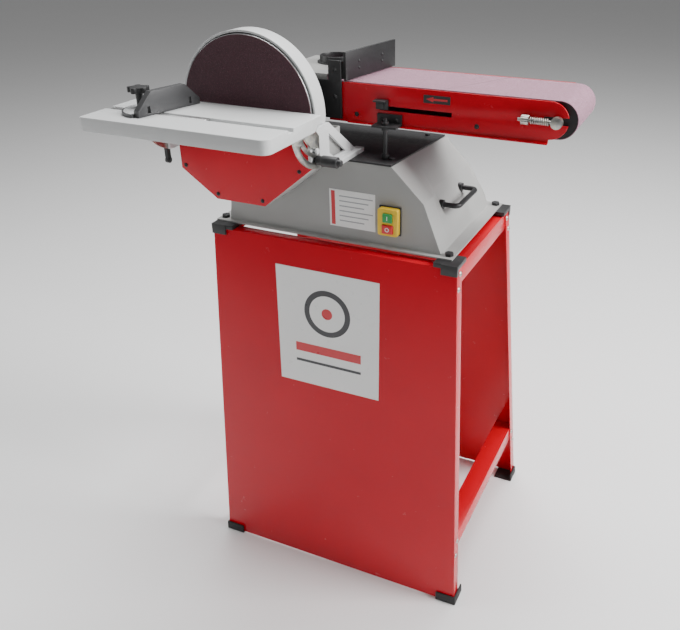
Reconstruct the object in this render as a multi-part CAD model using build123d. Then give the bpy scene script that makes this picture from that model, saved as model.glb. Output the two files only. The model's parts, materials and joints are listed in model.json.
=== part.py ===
"""Belt and disc sander on a sheet-steel stand: a 10 inch disc and a 150 x 1220 belt on one spindle.

Machine axes while modelling: X to the right along the belt arm, Y to the rear along the spindle,
Z up, spindle axis at X = 0, abrasive face of the disc at Y = 0, floor at Z = 0. Every piece is moved
to the middle of the overall box, at floor level, as it is written.
"""
from build123d import *
from math import acos, atan2, cos, degrees, pi, radians, sin, sqrt
import os

# ---- driving dimensions (mm) ----
SPINDLE_Z = 1083.0
DISC_R = 127.0
DISC_T = 1.5
PLATE_R = 128.0
PLATE_T = 12.0
BELT_WIDTH = 150.0
BELT_LENGTH = 1220.0
BELT_T = 1.2
BELT_Y = 156.0
ROLLER_R = 31.0

STAND_TOP_Z = 817.0
STAND_X0, STAND_X1 = -152.0, 374.0
STAND_Y0, STAND_Y1 = 72.0, 412.0
FLARE_X, FLARE_FRONT, FLARE_REAR = 37.0, 22.0, 136.0
SHEET = 2.0
LEG_FLANGE = 26.0
RAIL_H, RAIL_W, RAIL_GAP = 34.0, 46.0, 0.3
LOWER_RAIL_Z = 150.0
FOOT_H, FOOT_REACH, FOOT_WALL = 22.0, 44.0, 4.0
PAD_REACH, LIP_REACH = 46.0, 4.5

PAD_T = 9.0
FLANGE_T, FLANGE_BOLT_R = 3.0, 4.5
FLANGE_X0, FLANGE_X1 = -154.0, 358.0
FLANGE_Y0, FLANGE_Y1 = 88.0, 412.0
HOUSING_TOP_Z = 984.0
HOUSING_WALL = 2.5
TOP_PLATE_T = 4.0
TOP_X0, TOP_X1, TOP_FLARE = -62.0, 232.0, 24.0
TOP_Y0, TOP_Y1 = 99.0, 330.0

TABLE_X0, TABLE_X1 = -212.5, 148.0
TABLE_FRONT = 175.5
TABLE_GAP = 2.7
TABLE_TOP_Z = 1092.0
TABLE_T, SKIRT_T, SKIRT_H = 7.0, 7.0, 17.0
TABLE_TILT = 45.0
SLOT_W, SLOT_DEPTH, SLOT_Y = 16.0, 6.0, -102.0

FENCE_X, FENCE_T, FENCE_H, FENCE_L, FENCE_TURN = 116.0, 5.0, 50.0, 172.0, 8.0
ARM_X0, ARM_END_X, ARM_NOSE_R, ARM_PLATE_T = 84.0, 498.0, 32.0, 3.0
ARM_Z0, ARM_Z1 = 1043.0, 1115.0
GUARD_GAP, GUARD_WALL, GUARD_DEPTH = 2.0, 4.0, 38.0

RUNNING = 0.05      # radial clearance of shafts and pivots
FREE = 0.4          # gap between pieces that pass each other
SEAT = 0.02         # gap between sheet parts that are bolted face to face
BOLT_CLEARANCE = 0.5

# ---- derived sizes ----
BELT_IN_R = ROLLER_R + 0.3
CENTRES = (BELT_LENGTH - 2 * pi * BELT_IN_R) / 2
BELT_OUT_R = BELT_IN_R + BELT_T
BELT_Y1 = BELT_Y + BELT_WIDTH
PLATE_Y = BELT_Y - 5.0               # inner face of the front arm plate
REAR_PLATE_Y = BELT_Y1 + 5.0
FLANGE_Z = STAND_TOP_Z + PAD_T
PLATE_TOP_Z = HOUSING_TOP_Z + TOP_PLATE_T
SHAFT_R = 10.0
HINGE_Y = -TABLE_GAP
BOX_CX = (TABLE_X0 + CENTRES + BELT_OUT_R) / 2
FOOT_FLARE = STAND_TOP_Z / (STAND_TOP_Z - FOOT_H)    # the flare carried on down to the floor
BOX_CY = (-TABLE_FRONT + STAND_Y1 + FLARE_REAR * FOOT_FLARE + FOOT_WALL) / 2


def box(x0, x1, y0, y1, z0, z1):
    """A block between two corners."""
    size = (x1 - x0, y1 - y0, z1 - z0)
    return Pos((x0 + x1) / 2, (y0 + y1) / 2, (z0 + z1) / 2) * Box(*size)


def rod_x(x0, x1, y, z, r):
    """A cylinder along X."""
    return Pos((x0 + x1) / 2, y, z) * Rot(0, 90, 0) * Cylinder(r, x1 - x0)


def rod_y(y0, y1, x, z, r):
    """A cylinder along Y."""
    return Pos(x, (y0 + y1) / 2, z) * Rot(90, 0, 0) * Cylinder(r, y1 - y0)


def rod_z(z0, z1, x, y, r):
    """A cylinder along Z."""
    return Pos(x, y, (z0 + z1) / 2) * Cylinder(r, z1 - z0)


def ring_y(y0, y1, x, z, outer, inner):
    """A tube along Y."""
    return rod_y(y0, y1, x, z, outer) - rod_y(y0 - 1, y1 + 1, x, z, inner)


def slab_y(points, y0, y1):
    """A plate with an outline of (x, z) corners, between two Y values."""
    face = Plane.XZ.offset(-y0) * make_face(Polyline(*points, close=True))
    return extrude(face, -(y1 - y0))


def slab_x(points, x0, x1):
    """A plate with an outline of (y, z) corners, between two X values."""
    face = Plane.YZ.offset(x0) * make_face(Polyline(*points, close=True))
    return extrude(face, x1 - x0)


def slab_z(points, z0, z1):
    """A plate with an outline of (x, y) corners, between two Z values."""
    face = Plane.XY.offset(z0) * make_face(Polyline(*points, close=True))
    return extrude(face, z1 - z0)


def frustum(lower, z0, upper, z1):
    """A solid between two level rectangles given as (x0, x1, y0, y1)."""
    faces = []
    for (x0, x1, y0, y1), z in ((lower, z0), (upper, z1)):
        outline = Pos((x0 + x1) / 2, (y0 + y1) / 2, z) * Rectangle(x1 - x0, y1 - y0)
        faces.append(outline.face())
    return loft(faces)


def group(solids):
    """Separate solids that share one node."""
    return Compound(children=list(solids))


def hex_bolt(x, y, z, r, head):
    """A hexagon-head bolt standing on the level z, with its shank going down."""
    head_solid = Pos(x, y, z) * extrude(RegularPolygon(r * 1.9, 6), head)
    return head_solid + rod_z(z - head * 1.6, z, x, y, r)


def dome(r, height, depth):
    """A dome-head screw on the origin, its head towards +Z and its shank going down."""
    ball_r = (r * r + height * height) / (2 * height)
    ball = Pos(0, 0, height - ball_r) * Sphere(ball_r)
    head = ball - box(-2 * ball_r, 2 * ball_r, -2 * ball_r, 2 * ball_r, -3 * ball_r, 0)
    return (head + rod_z(-depth, 0, 0, 0, r * 0.5)).solid()


def dome_y(x, y, z, r, height, depth):
    """A dome-head screw seated at y, its head towards -Y."""
    return dome(r, height, depth).moved(Pos(x, y, z) * Rot(90, 0, 0))


def dome_x(x, y, z, r, height, depth, side=1):
    """A dome-head screw seated at x, its head towards +X or, with side -1, towards -X."""
    return dome(r, height, depth).moved(Pos(x, y, z) * Rot(0, 90 * side, 0))


# ---- stand ----
def flare(z):
    """Share of the full leg flare at a height: none at the top, all at the floor end of the panels."""
    return (STAND_TOP_Z - z) / (STAND_TOP_Z - FOOT_H)


def stand_x(z, side):
    edge = STAND_X0 if side < 0 else STAND_X1
    return edge + side * FLARE_X * flare(z)


def stand_y(z, front):
    return STAND_Y0 - FLARE_FRONT * flare(z) if front else STAND_Y1 + FLARE_REAR * flare(z)


PANEL_Z0 = FOOT_WALL


def stand_body(inset, z0, z1):
    """The solid inside the stand's four flared sides, inset by a sheet thickness."""
    corners = []
    for z in (z0, z1):
        corners.append((stand_x(z, -1) + inset, stand_x(z, 1) - inset,
                        stand_y(z, True) + inset, stand_y(z, False) - inset))
    return frustum(corners[0], z0, corners[1], z1)


def panel(front):
    """One big sheet panel with its folded side flanges and an inward fold along the top."""
    shell = stand_body(0, PANEL_Z0, STAND_TOP_Z) - stand_body(SHEET, PANEL_Z0 - 1, STAND_TOP_Z + 1)
    y_top, y_low = stand_y(STAND_TOP_Z, front), stand_y(PANEL_Z0, front)
    inward = 1 if front else -1
    keep = slab_x([(y_top - inward * 30, STAND_TOP_Z), (y_top + inward * LEG_FLANGE, STAND_TOP_Z),
                   (y_low + inward * LEG_FLANGE, PANEL_Z0), (y_low - inward * 30, PANEL_Z0)],
                  STAND_X0 - 2 * FLARE_X, STAND_X1 + 2 * FLARE_X)
    sheet = shell & keep
    y_a, y_b = sorted((y_top + inward * SHEET * 0.5, y_top + inward * LEG_FLANGE))
    fold = box(STAND_X0 + SHEET * 0.5, STAND_X1 - SHEET * 0.5, y_a, y_b, STAND_TOP_Z - SHEET, STAND_TOP_Z)
    return sheet + fold


def rail(side, z, height, width):
    """An angle rail between the front and rear panels, its upright flange inside the leg flanges."""
    solid = stand_body(SHEET + SEAT, z, z + height)
    inner = stand_body(2 * SHEET + SEAT, z - 1, z + height - SHEET)
    x_mid = stand_x(z, side)
    reach = box(*sorted((x_mid, x_mid - side * width)), STAND_Y0 - FLARE_FRONT - 9, STAND_Y1 + FLARE_REAR + 9,
                z, z + height)
    strip = (solid - inner) & reach
    y_front = stand_y(z + height, True) + SHEET + RAIL_GAP
    y_rear = stand_y(z + height, False) - SHEET - RAIL_GAP
    middle = box(x_mid - 90, x_mid + 90, y_front, y_rear, z, z + height)
    return strip & middle


def foot(side, front):
    """A rubber shoe with an L-shaped wall around the foot of one leg."""
    outer = stand_body(-FOOT_WALL, 0, FOOT_H)
    cavity = stand_body(0, PANEL_Z0, FOOT_H + 1)
    x = stand_x(0, side)
    y = stand_y(0, front)
    inward = 1 if front else -1
    xs = sorted((x + side * 9, x - side * FOOT_REACH))
    ys = sorted((y - inward * 9, y + inward * FOOT_REACH))
    corner = box(*xs, *ys, 0, FOOT_H)
    return (outer - cavity) & corner


def pad_block(side, front, grow=0.0):
    """The block of one corner pad, or its notch in the base plate when grown."""
    x = STAND_X0 if side < 0 else STAND_X1
    y = STAND_Y0 if front else STAND_Y1
    inward = 1 if front else -1
    xs = sorted((x + side * 2, x - side * (PAD_REACH + grow)))
    ys = sorted((y - inward * 2, y + inward * (PAD_REACH + grow)))
    return box(*xs, *ys, STAND_TOP_Z, FLANGE_Z)


def corner_pad(side, front):
    """A plastic block between the stand's top corner and the housing flange, with a lip over the panel."""
    x = STAND_X0 if side < 0 else STAND_X1
    y = STAND_Y0 if front else STAND_Y1
    inward = 1 if front else -1
    lip = box(*sorted((x + side * 2, x - side * 30)), *sorted((y - inward * LIP_REACH, y + inward * 5)),
              STAND_TOP_Z - 12, STAND_TOP_Z)
    lip -= stand_body(-SEAT, PANEL_Z0, STAND_TOP_Z)
    ys = sorted((y - inward * LIP_REACH, y))
    cap = box(*sorted((x + side * 2, x - side * 30)), *ys, STAND_TOP_Z, FLANGE_Z)
    return pad_block(side, front) + cap + lip - group(flange_bolt_holes())


CORNERS = [(side, front) for side in (-1, 1) for front in (True, False)]


def stand_screws():
    """Dome screws through the leg flanges into the side rails."""
    rail_top = STAND_TOP_Z - SHEET
    heights = ((rail_top - 12, 18), (rail_top - 40, 9), (LOWER_RAIL_Z + 20, 18), (LOWER_RAIL_Z - 14, 9))
    screws = []
    for side, front in CORNERS:
        inward = 1 if front else -1
        for z, inset in heights:
            y = stand_y(z, front) + inward * inset
            screws.append(dome_x(stand_x(z, side), y, z, 5.5, 3.2, SHEET - 0.1, side))
    return screws


# ---- housing ----
HOUSING_LEFT = [(FLANGE_X0 + 26, FLANGE_Z), (FLANGE_X0 + 40, 925.0), (TOP_X0, HOUSING_TOP_Z)]
BEND_X, BEND_Z = 296.0, 922.0
WALL_Y0 = FLANGE_Y0 + 11
WALL_Y1 = FLANGE_Y1 - 22
RECESS_IN = 14.0                     # how far the bend is pushed in around the handle
RECESS_Y = (150.0, 186.0, 318.0, 354.0)


def top_edge(y):
    """Right-hand end of the housing's flat top, which widens towards the rear."""
    return TOP_X1 + TOP_FLARE * (y - WALL_Y0) / (WALL_Y1 - WALL_Y0)


def housing_section(y, inset, push):
    """Outline of the housing across Y, its right-hand bend pushed in."""
    left = [(x + inset, z) for x, z in HOUSING_LEFT]
    right = [(top_edge(y), HOUSING_TOP_Z), (BEND_X - push, BEND_Z), (FLANGE_X1 - 24, FLANGE_Z)]
    right = [(x - inset, z) for x, z in right]
    if inset:
        left[0] = (left[0][0], FLANGE_Z - 1)
        right[-1] = (right[-1][0], FLANGE_Z - 1)
        left[-1] = (left[-1][0], HOUSING_TOP_Z - inset)
        right[0] = (right[0][0], HOUSING_TOP_Z - inset)
    return Plane.XZ.offset(-y) * make_face(Polyline(*left, *right, close=True))


def housing_solid(inset):
    """The outer form of the sheet housing, or its inside when inset by the wall."""
    pushes = (0, RECESS_IN, RECESS_IN, 0)
    steps = [(WALL_Y0 + inset, 0), *zip(RECESS_Y, pushes), (WALL_Y1 - inset, 0)]
    body = loft([housing_section(y, inset, push).face() for y, push in steps], ruled=True)
    rear = [(TOP_Y1 - inset, HOUSING_TOP_Z + 9), (WALL_Y1 - inset, FLANGE_Z + 30),
            (WALL_Y1 + 60, FLANGE_Z + 30), (WALL_Y1 + 60, HOUSING_TOP_Z + 9)]
    return body - slab_x(rear, TOP_X0 - 200, TOP_X1 + 200)


BELT_SLOT = (-12.0, 78.0)
PULLEY_Y0, PULLEY_Y1 = 108.0, 126.0
MOTOR_X, MOTOR_Z, MOTOR_R = 70.0, 905.0, 58.0


def housing():
    """Sheet housing with its outward flange, open below, with the drive-belt slot in its top."""
    flange = box(FLANGE_X0, FLANGE_X1, FLANGE_Y0, FLANGE_Y1, FLANGE_Z, FLANGE_Z + FLANGE_T)
    shell = flange - group(flange_bolt_holes()) + housing_solid(0)
    shell -= housing_solid(HOUSING_WALL)
    shell -= box(*BELT_SLOT, PULLEY_Y0 - 4, PULLEY_Y1 + 4, HOUSING_TOP_Z - 9, HOUSING_TOP_Z + 9)
    return shell


def top_plate():
    """Thick plate on top of the housing with a folded front edge."""
    corners = [(TOP_X0, TOP_Y0 - 1), (TOP_X1, TOP_Y0 - 1), (top_edge(TOP_Y1), TOP_Y1), (TOP_X0, TOP_Y1)]
    plate = slab_z(corners, HOUSING_TOP_Z, PLATE_TOP_Z)
    return plate - box(*BELT_SLOT, PULLEY_Y0 - 4, PULLEY_Y1 + 4, HOUSING_TOP_Z - 9, PLATE_TOP_Z + 9)


HANDLE_Z, HANDLE_Y0, HANDLE_Y1, HANDLE_REACH = 893.0, 190.0, 300.0, 34.0


def handle_wall():
    """X of the housing's end wall at the handle's height."""
    bend = BEND_X - RECESS_IN
    return bend + (FLANGE_X1 - 24 - bend) * (BEND_Z - HANDLE_Z) / (BEND_Z - FLANGE_Z)


def carry_handle():
    """Bent round bar on the right end of the housing."""
    wall_x = handle_wall()
    out_x = wall_x + HANDLE_REACH
    path = FilletPolyline((wall_x - 3, HANDLE_Y0, HANDLE_Z), (out_x, HANDLE_Y0, HANDLE_Z),
                          (out_x, HANDLE_Y1, HANDLE_Z), (wall_x - 3, HANDLE_Y1, HANDLE_Z), radius=11)
    start = Plane(origin=path @ 0, z_dir=path % 0)
    bar = sweep(start * Circle(5.0), path=path)
    for y in (HANDLE_Y0, HANDLE_Y1):
        bar += rod_x(wall_x - 3, wall_x + 5, y, HANDLE_Z, 9)
    return bar - housing_solid(0)


def flange_bolt_places():
    """The four bolt places in the housing flange."""
    return [(x, y) for x in (FLANGE_X0 + 12, FLANGE_X1 - 11) for y in (FLANGE_Y0 + 16, FLANGE_Y1 - 14)]


def flange_bolts():
    """Hexagon bolts through the housing flange and the pads."""
    return [hex_bolt(x, y, FLANGE_Z + FLANGE_T, FLANGE_BOLT_R, 6) for x, y in flange_bolt_places()]


def flange_bolt_holes():
    """Clearance holes for the flange bolts."""
    return [rod_z(STAND_TOP_Z - 1, FLANGE_Z + 9, x, y, FLANGE_BOLT_R + 0.2) for x, y in flange_bolt_places()]


def top_screws():
    """Screws that hold the top plate."""
    places = [(TOP_X1 - 12, TOP_Y0 + 30), (TOP_X1 - 12, TOP_Y1 - 20), (TOP_X0 + 12, TOP_Y1 - 20)]
    return [hex_bolt(x, y, PLATE_TOP_Z, 3, 3.5) for x, y in places]


BASE_T = 3.0


def base_plate():
    """Floor of the machine that carries the motor, inside the flange."""
    z1 = FLANGE_Z - SEAT
    plate = box(FLANGE_X0 + 8, FLANGE_X1 - 8, FLANGE_Y0 + 8, FLANGE_Y1 - 8, z1 - BASE_T, z1)
    for side, front in CORNERS:
        plate -= pad_block(side, front, FREE)
    return plate


def motor():
    """Round motor body with end bells and a foot on the base plate."""
    body = rod_y(150, 300, MOTOR_X, MOTOR_Z, MOTOR_R)
    body += rod_y(142, 150, MOTOR_X, MOTOR_Z, 40) + rod_y(300, 312, MOTOR_X, MOTOR_Z, 50)
    body += box(MOTOR_X - 46, MOTOR_X + 46, 165, 285, FLANGE_Z, MOTOR_Z - MOTOR_R * 0.7)
    return body - rod_y(140, 302, MOTOR_X, MOTOR_Z, 8 + RUNNING)


# ---- drive ----
SPINDLE_PULLEY_R, MOTOR_PULLEY_R = 28.0, 25.0
DRIVE_BELT_T = 6.0
DRIVE_RATIO = SPINDLE_PULLEY_R / MOTOR_PULLEY_R


def pulley(x, z, r, bore):
    """Grooved pulley for the drive belt."""
    body = ring_y(PULLEY_Y0, PULLEY_Y1, x, z, r + 4, bore)
    return body - ring_y(PULLEY_Y0 + 3, PULLEY_Y1 - 3, x, z, r + 9, r - 0.3)


def loop(x0, z0, r0, x1, z1, r1, y0, y1):
    """The solid inside an open belt run around two round ends."""
    length = sqrt((x1 - x0) ** 2 + (z1 - z0) ** 2)
    heading = atan2(z1 - z0, x1 - x0)
    spread = acos((r0 - r1) / length)
    points = []
    for angle in (heading + spread, heading - spread):
        points.append([(x + r * cos(angle), z + r * sin(angle)) for x, z, r in ((x0, z0, r0), (x1, z1, r1))])
    core = slab_y([points[0][0], points[0][1], points[1][1], points[1][0]], y0, y1)
    return core + rod_y(y0, y1, x0, z0, r0) + rod_y(y0, y1, x1, z1, r1)


def drive_belt():
    """The drive belt, a still stand-in that clears both pulleys."""
    y0, y1 = PULLEY_Y0 + 3.4, PULLEY_Y1 - 3.4
    top_r, low_r = SPINDLE_PULLEY_R, MOTOR_PULLEY_R
    outer = loop(0, SPINDLE_Z, top_r + DRIVE_BELT_T, MOTOR_X, MOTOR_Z, low_r + DRIVE_BELT_T, y0, y1)
    return outer - loop(0, SPINDLE_Z, top_r, MOTOR_X, MOTOR_Z, low_r, y0 - 1, y1 + 1)


def spindle_shaft():
    """The one shaft that carries the disc plate, the pulley and the drive roller."""
    shaft = rod_y(DISC_T + PLATE_T - 6, REAR_PLATE_Y + 12, 0, SPINDLE_Z, SHAFT_R)
    return shaft + rod_y(DISC_T + PLATE_T, DISC_T + PLATE_T + 10, 0, SPINDLE_Z, SHAFT_R + 12)


def disc_plate():
    """Machined plate behind the abrasive disc."""
    plate = rod_y(DISC_T, DISC_T + PLATE_T, 0, SPINDLE_Z, PLATE_R)
    return plate - rod_y(DISC_T + PLATE_T - 6, DISC_T + PLATE_T + 1, 0, SPINDLE_Z, SHAFT_R)


def drive_roller():
    """Roller on the spindle that drives the sanding belt."""
    return ring_y(BELT_Y + 1, BELT_Y1 - 1, 0, SPINDLE_Z, ROLLER_R, SHAFT_R)


BLOCK_R, BEARING_R = 30.0, 21.0
GUARD_BACK = GUARD_DEPTH + 2
PEDESTAL_Y0, PEDESTAL_Y1 = TOP_Y0 + 1, PULLEY_Y0 - 2
REAR_BLOCK_Y0, REAR_BLOCK_Y1 = PULLEY_Y1 + 4, PLATE_Y - 0.6
PIVOT_PLATE_Y0, PIVOT_PLATE_Y1 = PLATE_Y - ARM_PLATE_T - 4, PLATE_Y - ARM_PLATE_T


def front_bearing_block():
    """Bearing tube behind the guard with its pedestal on the top plate."""
    tube = rod_y(GUARD_BACK, PEDESTAL_Y1, 0, SPINDLE_Z, BLOCK_R)
    tube += box(-46, 46, PEDESTAL_Y0, PEDESTAL_Y1, PLATE_TOP_Z, SPINDLE_Z)
    tube -= rod_y(GUARD_BACK - 1, PEDESTAL_Y1 + 1, 0, SPINDLE_Z, SHAFT_R + 2)
    return tube - rod_y(GUARD_BACK - 1, GUARD_BACK + 16, 0, SPINDLE_Z, BEARING_R)


def rear_bearing_block():
    """Bearing tube that the belt arm turns on, with its pedestal on the top plate."""
    tube = rod_y(REAR_BLOCK_Y0, REAR_BLOCK_Y1, 0, SPINDLE_Z, BLOCK_R)
    tube += box(-46, 46, REAR_BLOCK_Y0, PIVOT_PLATE_Y0 - 2, PLATE_TOP_Z, SPINDLE_Z)
    tube -= rod_y(REAR_BLOCK_Y0 - 1, REAR_BLOCK_Y1 + 1, 0, SPINDLE_Z, SHAFT_R + 2)
    return tube - rod_y(REAR_BLOCK_Y0 - 1, REAR_BLOCK_Y0 + 14, 0, SPINDLE_Z, BEARING_R)


def bearings():
    """Ball bearings, one in each block, drawn as plain rings."""
    inner = SHAFT_R + RUNNING
    return [ring_y(GUARD_BACK, GUARD_BACK + 16, 0, SPINDLE_Z, BEARING_R, inner),
            ring_y(REAR_BLOCK_Y0, REAR_BLOCK_Y0 + 14, 0, SPINDLE_Z, BEARING_R, inner)]


def belt_guard():
    """Black sheet cover over the drive belt above the top plate."""
    y0, y1 = PEDESTAL_Y1, REAR_BLOCK_Y0
    form = box(-50, 78, y0, y1, PLATE_TOP_Z, SPINDLE_Z) + rod_y(y0, y1, 0, SPINDLE_Z, 50)
    inner = box(-48, 76, y0 + 1.5, y1 - 1.5, PLATE_TOP_Z - 1, SPINDLE_Z - 2)
    inner += rod_y(y0 + 1.5, y1 - 1.5, 0, SPINDLE_Z, 48)
    cover = form - slab_y([(79, 1040), (79, 1099), (40, 1099), (49, SPINDLE_Z)], y0 - 1, y1 + 1) - inner
    cover -= box(51, 79, y0 - 1, y1 + 1, 1056, SPINDLE_Z + 1)
    return cover - rod_y(y0 - 1, y1 + 1, 0, SPINDLE_Z, SHAFT_R + 4)


# ---- disc guard, shroud and table brackets ----
GUARD_IN_R = PLATE_R + GUARD_GAP
GUARD_OUT_R = GUARD_IN_R + GUARD_WALL
COVER_Y0, COVER_Y1 = -9.0, -7.0
COVER_TOP = 1052.0
COVER_POINTS = [(-148, COVER_TOP), (-148, 966), (-75, 915), (28, 915), (131, 999), (131, COVER_TOP)]
BRACKET_T = 5.0
TRUNNION_T = 4.0
TRUNNION_X = {1: 139.5, -1: -159.5}
TRUNNION_SIDE = {side: TRUNNION_X[side] + side * TRUNNION_T / 2 for side in (1, -1)}
STUD_R = 4.0
STUD_ARC_R = 75.0
GUIDE_R, GUIDE_ARC_R, GUIDE_ANGLE, GUIDE_HEAD_R = 3.0, 60.0, 76.0, 5.0


def guard():
    """Cast rim around the upper half of the disc with its back wall."""
    rim = ring_y(4, GUARD_DEPTH + 2, 0, SPINDLE_Z, GUARD_OUT_R, GUARD_IN_R)
    wall = ring_y(GUARD_DEPTH - 3, GUARD_DEPTH + 2, 0, SPINDLE_Z, GUARD_IN_R + 1, SHAFT_R + 16)
    upper = box(-200, 200, -20, 90, COVER_TOP - 4, SPINDLE_Z + 200)
    return (rim + wall) & upper


def shroud():
    """Grey sheet box around the lower half of the disc, reaching back to the housing."""
    points = [(x, z if z < COVER_TOP else COVER_TOP - 4) for x, z in COVER_POINTS]
    inner = [(-146, COVER_TOP), (-146, 967), (-74.4, 917), (27.4, 917), (129, 1000), (129, COVER_TOP)]
    body = slab_y(points, COVER_Y1, TOP_Y0 - 1.2)
    body -= slab_y(inner, COVER_Y1 - 1, TOP_Y0 - 3.2)
    middle = box(-60, 60, GUARD_BACK - 3, TOP_Y0, SPINDLE_Z - BLOCK_R - 12, SPINDLE_Z)
    return body - middle


def lower_cover():
    """Red removable cover over the front of the shroud."""
    return slab_y(COVER_POINTS, COVER_Y0, COVER_Y1) - box(-300, 300, -20, 20, COVER_TOP - 4, COVER_TOP + 9)


def cover_screws():
    """Small dome screws along the cover's edge."""
    places = [(-138, 972), (-72, 925), (24, 925), (104, 990)]
    return [dome_y(x, COVER_Y0, z, 4, 2.6, 3) for x, z in places]


def at_hinge(angle, radius):
    """A (y, z) point on a circle about the table's tilt axis; 0 points to -Y and 90 to -Z."""
    a = radians(angle)
    return (HINGE_Y - radius * cos(a), TABLE_TOP_Z - radius * sin(a))


STUD_ANGLE = 80.0


def lug_x(side):
    """X range of the bracket lug, between the disc guard and the trunnion."""
    outer = TRUNNION_SIDE[side] - side * (TRUNNION_T / 2 + FREE)
    return sorted((outer, outer - side * BRACKET_T))


def table_bracket(side):
    """Cast lug beside the disc that carries the clamp stud and the guide bolt of one trunnion."""
    x0, x1 = lug_x(side)
    y, z = at_hinge(STUD_ANGLE, STUD_ARC_R)
    back, top = GUARD_DEPTH + 2, SPINDLE_Z - 14
    lug = slab_x([(y - 12, z - 13), (y - 12, z + 8), (y - 13, z + 22), (y - 8, z + 34), (8, top),
                  (back, top), (back, z - 8), (y + 12, z - 13)], x0, x1)
    reach = side * (GUARD_OUT_R - 3.5)
    web = box(*sorted((reach, side * max(abs(x0), abs(x1)))), back - 12, back, SPINDLE_Z - 32, top)
    bracket = lug + web - rod_y(-20, GUARD_DEPTH + 9, 0, SPINDLE_Z, GUARD_OUT_R)
    bracket -= rod_x(x0 - 1, x1 + 1, y, z, STUD_R + RUNNING)
    guide = at_hinge(GUIDE_ANGLE, GUIDE_ARC_R)
    face = TRUNNION_SIDE[side] + side * (TRUNNION_T / 2 + FREE)
    bracket += rod_x(*sorted((side * min(abs(x0), abs(x1)), face + side)), *guide, GUIDE_R)
    return bracket + rod_x(*sorted((face, face + side * 4)), *guide, GUIDE_HEAD_R)


FOOT_BAR_X, FOOT_BAR_W, FOOT_BAR_Y = 133.0, 17.0, (62.0, 158.0)


def foot_casting():
    """Webbed foot of the right bracket, down to a bar on the left edge of the top plate."""
    x0, x1 = lug_x(1)
    back, top = GUARD_DEPTH + 2, SPINDLE_Z - 14
    y0, y1 = FOOT_BAR_Y
    web = slab_x([(back - 8, top), (back, top), (y1 - 20, PLATE_TOP_Z + 12), (y1 - 20, PLATE_TOP_Z + 4),
                  (y0, PLATE_TOP_Z + 4), (back - 16, PLATE_TOP_Z + 20)], x0, x1)
    web -= slab_x([(back, top - 19), (y1 - 56, PLATE_TOP_Z + 15), (y0 - 4, PLATE_TOP_Z + 15),
                   (back - 6, PLATE_TOP_Z + 30)], x0 - 1, x1 + 1)
    return web + box(FOOT_BAR_X, FOOT_BAR_X + FOOT_BAR_W, y0, y1, PLATE_TOP_Z, PLATE_TOP_Z + 8)


# ---- disc table ----
def table_outline(x0, x1, y0, y1, left_r, right_r):
    """Block with its two front corners rounded."""
    block = box(x0, x1, y0, y1, TABLE_TOP_Z - TABLE_T - SKIRT_H, TABLE_TOP_Z)
    for index, radius in ((0, left_r), (-1, right_r)):
        front = block.edges().filter_by(Axis.Z).group_by(Axis.Y)[0].sort_by(Axis.X)
        block = fillet(front[index], radius)
    return block


def disc_table():
    """Cast table with a skirt on three sides, a mitre slot and a sloping rear lip."""
    y0 = HINGE_Y - TABLE_FRONT + TABLE_GAP
    solid = table_outline(TABLE_X0, TABLE_X1, y0, HINGE_Y, 4, 16)
    hollow = table_outline(TABLE_X0 + SKIRT_T, TABLE_X1 - SKIRT_T, y0 + SKIRT_T, HINGE_Y + 30, 2, 10)
    solid -= Pos(0, 0, -TABLE_T) * hollow
    slope = [(HINGE_Y + 1, TABLE_TOP_Z - 2), (HINGE_Y, TABLE_TOP_Z - 2),
             (HINGE_Y - 23, TABLE_TOP_Z - 25), (HINGE_Y + 1, TABLE_TOP_Z - 25)]
    solid -= slab_x(slope, TABLE_X0 - 1, TABLE_X1 + 1)
    rib_y = (SLOT_Y - SLOT_W / 2 - 4, SLOT_Y + SLOT_W / 2 + 4)
    solid += box(TABLE_X0 + 2, TABLE_X1 - 2, *rib_y, TABLE_TOP_Z - SLOT_DEPTH - 6, TABLE_TOP_Z - 1)
    return solid - box(TABLE_X0 - 1, TABLE_X1 + 1, SLOT_Y - SLOT_W / 2, SLOT_Y + SLOT_W / 2,
                       TABLE_TOP_Z - SLOT_DEPTH, TABLE_TOP_Z + 1)


TRUNNION_R = 90.0


def trunnion(side):
    """Quarter plate under the table with a curved slot about the tilt axis."""
    x0 = TRUNNION_SIDE[side] - TRUNNION_T / 2
    x1 = x0 + TRUNNION_T
    top = TABLE_TOP_Z - TABLE_T
    quarter = rod_x(x0, x1, HINGE_Y, TABLE_TOP_Z, TRUNNION_R)
    quarter &= box(x0, x1, HINGE_Y - TRUNNION_R, HINGE_Y - 1, TABLE_TOP_Z - TRUNNION_R, top)
    quarter -= disc_table()
    corner = [(HINGE_Y, top + 1), (HINGE_Y, TABLE_TOP_Z - 36), (HINGE_Y - 30, top + 1)]
    quarter -= slab_x(corner, x0 - 1, x1 + 1)
    for arc_r, pin_r, angle in ((STUD_ARC_R, STUD_R, STUD_ANGLE), (GUIDE_ARC_R, GUIDE_R, GUIDE_ANGLE)):
        slot_r = pin_r + BOLT_CLEARANCE
        band = rod_x(x0 - 1, x1 + 1, HINGE_Y, TABLE_TOP_Z, arc_r + slot_r)
        band -= rod_x(x0 - 2, x1 + 2, HINGE_Y, TABLE_TOP_Z, arc_r - slot_r)
        start, end = at_hinge(angle - TABLE_TILT, 200), at_hinge(angle, 200)
        cut = band & slab_x([(HINGE_Y, TABLE_TOP_Z), start, end], x0 - 3, x1 + 3)
        for stop in (angle - TABLE_TILT, angle):
            cut += rod_x(x0 - 1, x1 + 1, *at_hinge(stop, arc_r), slot_r)
        quarter -= cut
    return quarter


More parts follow.
